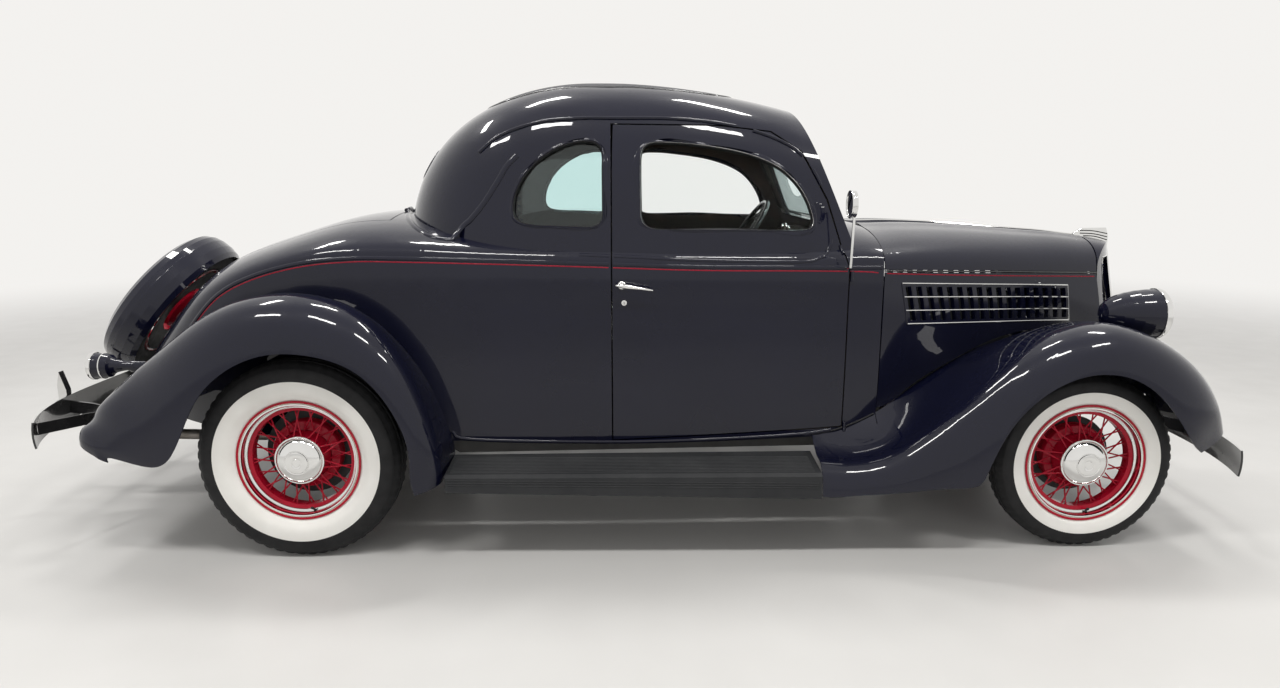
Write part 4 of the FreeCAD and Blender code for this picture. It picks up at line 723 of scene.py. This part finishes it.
# Bright centre line of the prow, and beads round the grille openings
prow = {"top": 1078, "foot": 442, "ahead": 3700, "points": 60, "width": 0.013, "height": 0.006,
    "sink": 0.003}
line = []
for k in range(prow["points"]):
    z = prow["top"] + (prow["foot"] - prow["top"]) * k / (prow["points"] - 1)
    hit = touch(at(prow["ahead"], 0, z), ["grille_shell"], backward)
    if hit:
        line.append(hit[0])
frames = []
for k, p in enumerate(line):
    out = acrossCar.cross(heading(line, k)).normalized()
    frames.append((p, acrossCar, -out if out.x < 0 else out))
sweep("prowStrip", frames, halfRound(prow), chrome, "body")
grilleEdge = {"line": ((3150, 1015), (3246, 1015), (3262, 1000), (3300, 760), (3345, 500), (3340, 490),
    (3260, 490), (3250, 500), (3195, 760), (3148, 1000)), "middle": (3232, 0, 760), "fewest": 20,
    "bead": [(0.0, -1.0), (0.4, 1.6), (2.5, 2.6), (4.6, 1.2), (5.0, -1.0)]}
for side, hand, mark in sides:
    guide = smoothLine(seenLine(grilleEdge["line"]), 0.02, True)
    frames = openingFrames(at(*grilleEdge["middle"]), guide, inward(side), ["grille_shell"],
        lambda spot, normal, side=side: spot.y * side > 0.004 and normal.y * side > 0.1)
    if len(frames) > grilleEdge["fewest"]:
        sweep("grilleBead" + mark, frames, inMetres(grilleEdge["bead"]), chrome, "body", True)
print("front dressed")

# Running boards: ribs in the rubber and three lines on the outer edge
board = {"rear": 540, "middle": 1190, "front": 1838, "above": 1000, "ribs": 11, "first": 690,
    "pitch": 13.2, "width": 0.0072, "height": 0.0024, "step": 0.05}
boardEdge = {"heights": (306, 297, 288), "drop": 8, "width": 0.004, "height": 0.0014}
for side, hand, mark in sides:
    for k in range(board["ribs"]):
        y = side * (board["first"] + board["pitch"] * k)
        layBead("boardRib%s%d" % (mark, k), [at(board[end], y, board["above"]) for end in ("rear",
            "middle", "front")], ["running_boards"], board, matRubber, down, board["step"])
    for k, z in enumerate(boardEdge["heights"]):
        layBead("boardEdge%s%d" % (mark, k), [at(board["rear"] - 10, 0, z), at(board["middle"], 0,
            z - boardEdge["drop"]), at(board["front"] + 12, 0, z - 2 * boardEdge["drop"])],
            ["running_boards"], boardEdge, matRubber, inward(side), board["step"])

# Hinge rod between hood top and hood side
hoodRod = {"rear": (2112, 616.0, 1016.8), "front": (3100, 233.5, 966.3), "radius": 0.0034}
for side, hand, mark in sides:
    ends = [at(x, side * y, z) for x, y, z in (hoodRod["rear"], hoodRod["front"])]
    tube("hoodRod" + mark, [ends[0].lerp(ends[1], t / 4) for t in range(5)], [hoodRod["radius"]] * 5,
        blackEnamel, "hood_top_" + hand, 12, 0.05)


# Copy the wanted faces of a node as a lining that stands off by lift
def lining(name, node, mat, body, wanted, lift=0.002):
    mesh = nodes[node].data
    keep = [p for p in mesh.polygons if wanted(p.center, p.normal)]
    if not keep:
        return
    push = {}
    for p in keep:
        for v in p.vertices:
            push.setdefault(v, Vector())
            push[v] += p.normal * p.area
    bm = bmesh.new()
    spots = {v: bm.verts.new(mesh.vertices[v].co + n.normalized() * lift) for v, n in push.items()}
    for p in keep:
        bm.faces.new([spots[v] for v in p.vertices])
    place(toMesh(bm, name, [mat], 40, False), name, body)


# Bumpers: dark backs, two fine dark lines, and bolt heads over the irons
blade = {"front": {"z": 322, "inside": backward, "boltY": 290, "half": 742},
    "rear": {"z": 430, "inside": forward, "boltY": 610, "half": 684}, "lines": (-6, 6), "pitch": 106,
    "width": 0.003, "height": 0.0005, "boltRise": 26, "back": 0.0006}
for end in ("front", "rear"):
    lining("bumperBack" + titled(end), "bumper_" + end, blackEnamel, "body",
        lambda center, normal, reach=blade[end]["inside"]: normal.dot(reach) > 0.25, blade["back"])

# Three thin dark lines on each side of the fin: painted shade that stands for grooves
fin = {"width": 0.0042, "height": 0.0006, "grooves": (((3122, 1124), (3190, 1122), (3256, 1110)),
    ((3136, 1112), (3196, 1109), (3257, 1096)), ((3152, 1101), (3202, 1098), (3258, 1083)))}
for side, hand, mark in sides:
    for k, shadeLine in enumerate(fin["grooves"]):
        layBead("finGroove%s%d" % (mark, k), seenLine(shadeLine), ["hood_hinge"], fin, sealRubber,
            inward(side) * 0.2, 0.008)

for end in ("front", "rear"):
    node, label, spec = "bumper_" + end, titled(end), blade[end]
    reach = spec["inside"]
    for k, rise in enumerate(blade["lines"]):
        layBead("bumperLine%s%d" % (label, k),
            [at(drawingShift, y, spec["z"] + rise) for y in range(-spec["half"], spec["half"] + 1,
            blade["pitch"])], [node], blade, sealRubber, reach * 2.5, 0.03)
    for side in (1, -1):
        hit = touch(at(drawingShift, side * spec["boltY"], spec["z"] + blade["boltRise"]) - reach * 3.5,
            [node], reach)
        if hit:
            place(boltMesh, "bumperBolt%s%d%d" % (label, spec["boltY"], side > 0), "body",
                facing(hit[0], hit[1]))

# Lamps: reflector, bulb, lens and rim, front and rear
head = {"x": 3196, "y": 500, "z": 838}
tail = {"x": -822, "y": 560, "z": 660}


def domeLine(radius, foot, height, steps):
    return [(radius * math.cos(a), foot + height * math.sin(a)) for a in [math.pi / 2 * k / steps
        for k in range(steps + 1)]]


reflector = lathe("reflectorMesh", [(0, 1.0), (20, 1.6), (45, 4.5), (66, 9.5), (84, 16.0), (86, 16.0),
    (86, 0.6), (0, 0.6)], chrome, 64)
bulb = lathe("bulbMesh", [(0, 22), (6, 21), (9, 16), (9, 9), (6, 3), (6, 1)], creamBulbAndHighlight, 24)
dome = domeLine(86, 14, 20, 14)
domeIn = [(r * 0.965, y - 3.2) for r, y in reversed(dome[1:])]
headLens = lathe("headLensMesh", [(88, 12)] + dome + domeIn + [(83.5, 11)], lensGlass, 96)
rim = lathe("lampRimMesh", [(95.2, -9), (97.4, -8), (98.2, -3), (98.0, 4), (96.4, 11), (92.6, 16.6),
    (87.6, 18.8), (84.0, 18.0), (83.6, 15.6), (86.5, 14.0), (90, 8), (94.6, 0)], chrome, 96, True)
tailLens = lathe("tailLensMesh", [(44, 1), (44, 5)] + domeLine(43, 5, 14, 10), redLens, 64)
tailRim = lathe("tailRimMesh", [(49.4, -10), (51.4, -9), (52.0, -3), (51.4, 3), (49.0, 6.8), (45.6, 7.6),
    (43.2, 6.0), (43.8, 3.0), (48.6, 0)], chrome, 64, True)
tailBand = lathe("tailBandMesh", [(46.8, -42), (48.6, -41), (48.6, -37), (47.4, -36)], chrome, 64, True)
for side, hand, mark in sides:
    ahead = facing(at(head["x"], side * head["y"], head["z"]), forward)
    behind = facing(at(tail["x"], side * tail["y"], tail["z"]), backward)
    for label, mesh, spot in (("reflector", reflector, ahead), ("bulb", bulb, ahead),
            ("headLens", headLens, ahead), ("tailLens", tailLens, behind)):
        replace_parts(place(mesh, label + mark, "body", spot), "lamp_lenses")
    place(rim, "headRim" + mark, "body", ahead)
    place(tailRim, "tailRim" + mark, "body", behind)
    place(tailBand, "tailBand" + mark, "body", behind)

# Mirrors: rim and silvered face, looking back along the car
mirrorRim = lathe("mirrorRimMesh", [(44, -2), (47.5, -1), (48.6, 2), (47.2, 4.4), (43.6, 4.6), (43, 2.6)],
    chrome, 64, True)
mirrorFace = lathe("mirrorFaceMesh", [(0, 2.2), (22, 2.2), (43.4, 2.0), (43.4, 0.2), (0, 0.2)], chrome,
    64)
mirror = {"x": 1940, "y": 752, "z": 1262}
for side, hand, mark in sides:
    spot = facing(at(mirror["x"], side * mirror["y"], mirror["z"]), backward)
    place(mirrorRim, "mirrorRim" + mark, "door_" + hand, spot)
    place(mirrorFace, "mirrorFace" + mark, "door_" + hand, spot)
print("lamps and mirrors dressed")

# Cabin: lining over the inner faces, window cranks and dials
cabin = {"middle": (1150, 0, 1150), "rear": 640, "front": 1985, "halfWidth": 0.66, "floor": 0.42,
    "trimTop": 1.145}
crank = {"arm": ((1420, 930), (1450, 905), (1482, 878)), "armRadii": (0.006, 0.0045, 0.006), "reach": 22,
    "knob": (0, 14, 30), "knobRadii": (0.009, 0.007, 0.01)}
dials = ((262, 1086, 52), (345, 1100, 30), (185, 1100, 30))


def inCabin(center, normal):
    x = center.x * 1000 + drawingShift
    toward = center - at(*cabin["middle"])
    toward.y *= 1.6
    return (cabin["rear"] < x < cabin["front"] and abs(center.y) < cabin["halfWidth"]
        and center.z > cabin["floor"] and normal.dot(toward.normalized()) < -0.35)


lining("headLining", "body_shell", trimCloth, "body", inCabin)
for side, hand, mark in sides:
    door = "door_" + hand
    lining("doorTrim" + mark, door, trimCloth, door, lambda center, normal, side=side: normal.y * side <
        -0.5 and center.z < cabin["trimTop"])
    lining("doorGarnish" + mark, door, garnish, door, lambda center, normal, side=side: normal.y * side <
        -0.35 and center.z >= cabin["trimTop"])
    x, z = crank["arm"][0]
    inner = touch(at(x, 0, z), [door], -inward(side))
    if inner:
        place(stemMesh, "crankStem" + mark, door, facing(inner[0] + inward(side) * 0.002, inward(side)))
        y = inner[0].y * 1000 - side * crank["reach"]
        tube("crankArm" + mark, [at(x, y, z) for x, z in crank["arm"]], crank["armRadii"], chrome, door,
            12)
        x, z = crank["arm"][-1]
        tube("crankKnob" + mark, [at(x, y - side * off, z) for off in crank["knob"]], crank["knobRadii"],
            blackEnamel, door, 14)
for k, (y, z, r) in enumerate(dials):
    hit = touch(at(1700, y, z), ["dashboard"], forward)
    if hit is None:
        continue
    spot = facing(hit[0], backward)
    for label, profile, mat, closed in (("dialFace", [(0, 1.6), (r * 0.5, 1.6), (r, 1.4), (r, 0)],
            dialFace, False), ("dialRing", [(r - 1, 0), (r + 5, 0), (r + 5, 3), (r + 2, 5.5), (r - 1, 4)],
            chrome, True)):
        place(lathe("%s%d" % (label, k), profile, mat, 48, closed), "%s%d" % (label, k), "body", spot)
    tip = hit[0] + Vector((-0.003, 0, 0))
    tube("dialHand%d" % k, [tip, tip + Vector((0, 0.0004 * r, 0.00045 * r)),
        tip + Vector((0, 0.0007 * r, 0.0008 * r))], [0.0016, 0.001, 0.0005], blackEnamel, "body", 8, 0.01)
print("cabin lined")

# Seats: padded forms puffed by cloth, then sewn into channels
seats = {"voxel": 0.012, "pressure": 4.0, "cap": 0.024, "frames": 20, "inset": 0.014, "border": 0.05,
    "channelPitch": 0.076, "channelDepth": 0.011, "channelWidth": 0.009, "halfWidth": 570,
    "cushion": (1000, 1480, 597, 735), "back": (868, 992, 606, 1138), "backShape": (-0.052, 0.78)}


# Closed block with rounded corners; taper narrows its top and shear moves it along x
def padBlock(low, high, shear=0.0, taper=1.0):
    bm = bmesh.new()
    bmesh.ops.create_cube(bm, size=1.0)
    size = high - low
    for v in bm.verts:
        v.co = Vector((low.x + size.x * (v.co.x + 0.5), low.y + size.y * (v.co.y + 0.5),
            low.z + size.z * (v.co.z + 0.5)))
    bmesh.ops.bevel(bm, geom=bm.edges[:], offset=0.032, segments=4, affect="EDGES", profile=0.6)
    for v in bm.verts:
        t = (v.co.z - low.z) / size.z
        mid = (low.x + high.x) / 2
        v.co.x = mid + (v.co.x - mid) * (1 + (taper - 1) * t) + shear * t
    mesh = bpy.data.meshes.new("padBlock")
    bm.to_mesh(mesh)
    bm.free()
    return mesh


# Mesh of a piece with its modifiers applied
def baked(piece):
    graph = bpy.context.evaluated_depsgraph_get()
    graph.update()
    return bpy.data.meshes.new_from_object(piece.evaluated_get(graph))


def makePad(name, block, faceOut):
    piece = newObject(name, block)
    remesh = piece.modifiers.new("voxels", "REMESH")
    remesh.mode = "VOXEL"
    remesh.voxel_size = seats["voxel"]
    start = baked(piece)
    piece.modifiers.clear()
    piece.data = start
    cloth = piece.modifiers.new("puff", "CLOTH")
    cloth.settings.use_pressure = True
    cloth.settings.uniform_pressure_force = seats["pressure"]
    cloth.settings.effector_weights.gravity = 0
    cloth.point_cache.frame_start = 1
    cloth.point_cache.frame_end = seats["frames"]
    for f in range(1, seats["frames"] + 1):
        bpy.context.scene.frame_set(f)
    puffed = baked(piece)
    piece.modifiers.clear()
    for v, w in zip(start.vertices, puffed.vertices):
        move = w.co - v.co
        if move.length > seats["cap"]:
            move = move.normalized() * seats["cap"]
        v.co += move
    bpy.context.scene.frame_set(1)
    smooth = piece.modifiers.new("fine", "SUBSURF")
    smooth.levels = 1
    smooth.render_levels = 1
    fine = baked(piece)
    piece.modifiers.clear()
    low = min(v.co.y for v in fine.vertices)
    high = max(v.co.y for v in fine.vertices)
    moves = []
    for v in fine.vertices:
        aim = max(0.0, v.normal.dot(faceOut))
        edge = min(v.co.y - low, high - v.co.y)
        hold = max(0.0, min(1.0, (edge - seats["border"]) / 0.02)) * min(1.0, aim * 1.6)
        t = (v.co.y - low - seats["border"]) / seats["channelPitch"]
        off = abs(t - round(t)) * seats["channelPitch"]
        crown = math.cos(min(1.0, 2 * off / seats["channelPitch"]) * math.pi / 2)
        seam = math.exp(-(off / seats["channelWidth"]) ** 2)
        moves.append(v.normal * (-hold * seats["channelDepth"] * (0.45 * crown + 0.55 * seam)))
    for v, move in zip(fine.vertices, moves):
        v.co += move
    for poly in fine.polygons:
        poly.use_smooth = True
    fine.materials.clear()
    fine.materials.append(seatCloth)
    piece.data = fine
    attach(piece, "body")
    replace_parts(piece, "seat_cushions")


inset = seats["inset"] * 1000
for name, (rear, front, foot, top), shape, faceOut in (("seatCushion", seats["cushion"], (), (0.2, 0, 1)),
        ("seatBack", seats["back"], seats["backShape"], (1, 0, 0.15))):
    low = at(rear + inset, -seats["halfWidth"] + inset, foot)
    high = at(front - inset, seats["halfWidth"] - inset, top - inset)
    makePad(name, padBlock(low, high, *shape), Vector(faceOut).normalized())
print("seats sewn")

# Stage, lamps and camera

stage = {"fadeFrom": 4.2, "fadeTo": 10.5, "reach": 60.0, "backdrop": (0.9, 0.885, 0.862),
    "worldStrength": 0.52}


# One where the camera, a reflection or a pane of glass looks
def addSeen(tree):
    path = addNode(tree, "LightPath", {})
    total = path.outputs["Is Camera Ray"]
    for ray in ("Is Glossy Ray", "Is Transmission Ray"):
        total = addNode(tree, "Math", {0: total, 1: path.outputs[ray]}, operation="MAXIMUM").outputs[0]
    return total


# The floor fades into the backdrop colour with the distance from the car
floorMat = makeFinish("studioFloor", ((0.555, 0.55, 0.54), (0.59, 0.585, 0.575)), 1.4, (0.3, 0.42), 5)
tree = floorMat.node_tree
coord = addNode(tree, "TexCoord", {})
far = addNode(tree, "VectorMath", {0: coord.outputs["Object"]}, operation="LENGTH")
fade = addRange(tree, far.outputs["Value"], 0.0, 1.0, stage["fadeFrom"], stage["fadeTo"],
    interpolation_type="SMOOTHSTEP")
share = addNode(tree, "Math", {0: fade, 1: addSeen(tree)}, operation="MULTIPLY")
glow = addNode(tree, "Emission", {0: (*stage["backdrop"], 1.0)})
blend = addNode(tree, "MixShader", {0: share.outputs[0], 1: tree.nodes["Principled BSDF"].outputs[0],
    2: glow.outputs[0]})
tree.links.new(blend.outputs[0], tree.nodes["Material Output"].inputs[0])
floorMesh = lathe("studioFloor", [(r * 1000, 0) for r in (0, 3, 6, 12, 24, stage["reach"])], floorMat, 96)
floor = place(floorMesh, "studioFloor", None, turned(90, "X"))

world = bpy.data.worlds.new("studio")
bpy.context.scene.world = world
world.use_nodes = True
tree = world.node_tree
background = tree.nodes["Background"]
background.inputs[0].default_value = (*stage["backdrop"], 1.0)
tree.links.new(addRange(tree, addSeen(tree), stage["worldStrength"], 1.0, 0.0, 1.0), background.inputs[1])


def areaLight(name, spot, aim, size, power):
    data = bpy.data.lights.new(name, "AREA")
    data.shape = "RECTANGLE"
    data.size, data.size_y = size
    data.energy = power
    data.color = (1, 0.985, 0.96)
    lamp = newObject(name, data)
    lamp.location = spot
    lamp.rotation_euler = (Vector(aim) - Vector(spot)).to_track_quat("-Z", "Y").to_euler()
    return lamp


ceiling = {"xs": (-3.2, -1.1, 1.1, 3.2), "near": (-2.4, 4.4, -0.4), "far": (0.8, 4.6, 0.4),
    "size": (1.1, 0.3), "power": 46}
for k, x in enumerate(ceiling["xs"]):
    for row in ("near", "far"):
        y, z, aimY = ceiling[row]
        areaLight("ceiling%s%d" % (titled(row), k), (x, y, z), (x * 0.8, aimY, 0.0), ceiling["size"],
            ceiling["power"])
areaLight("fill", (0.5, -8.0, 3.6), (0, 0, 0.6), (8.0, 2.6), 90).visible_glossy = False
areaLight("rim", (-1.0, 5.0, 5.0), (0, 0, 1.0), (7.0, 1.4), 80).visible_glossy = False

view = {"lens": 24.23, "location": (-0.0155, -3.738, 1.3661), "down": 11.2003, "turn": -0.8863}
cameraData = bpy.data.cameras.new("camera")
cameraData.lens = view["lens"]
cameraData.sensor_width = 36.0
camera = newObject("camera", cameraData)
camera.location = view["location"]
camera.rotation_euler = (math.radians(90 - view["down"]), 0.0, math.radians(view["turn"]))
bpy.context.scene.camera = camera
bpy.context.scene.view_settings.view_transform = "Standard"
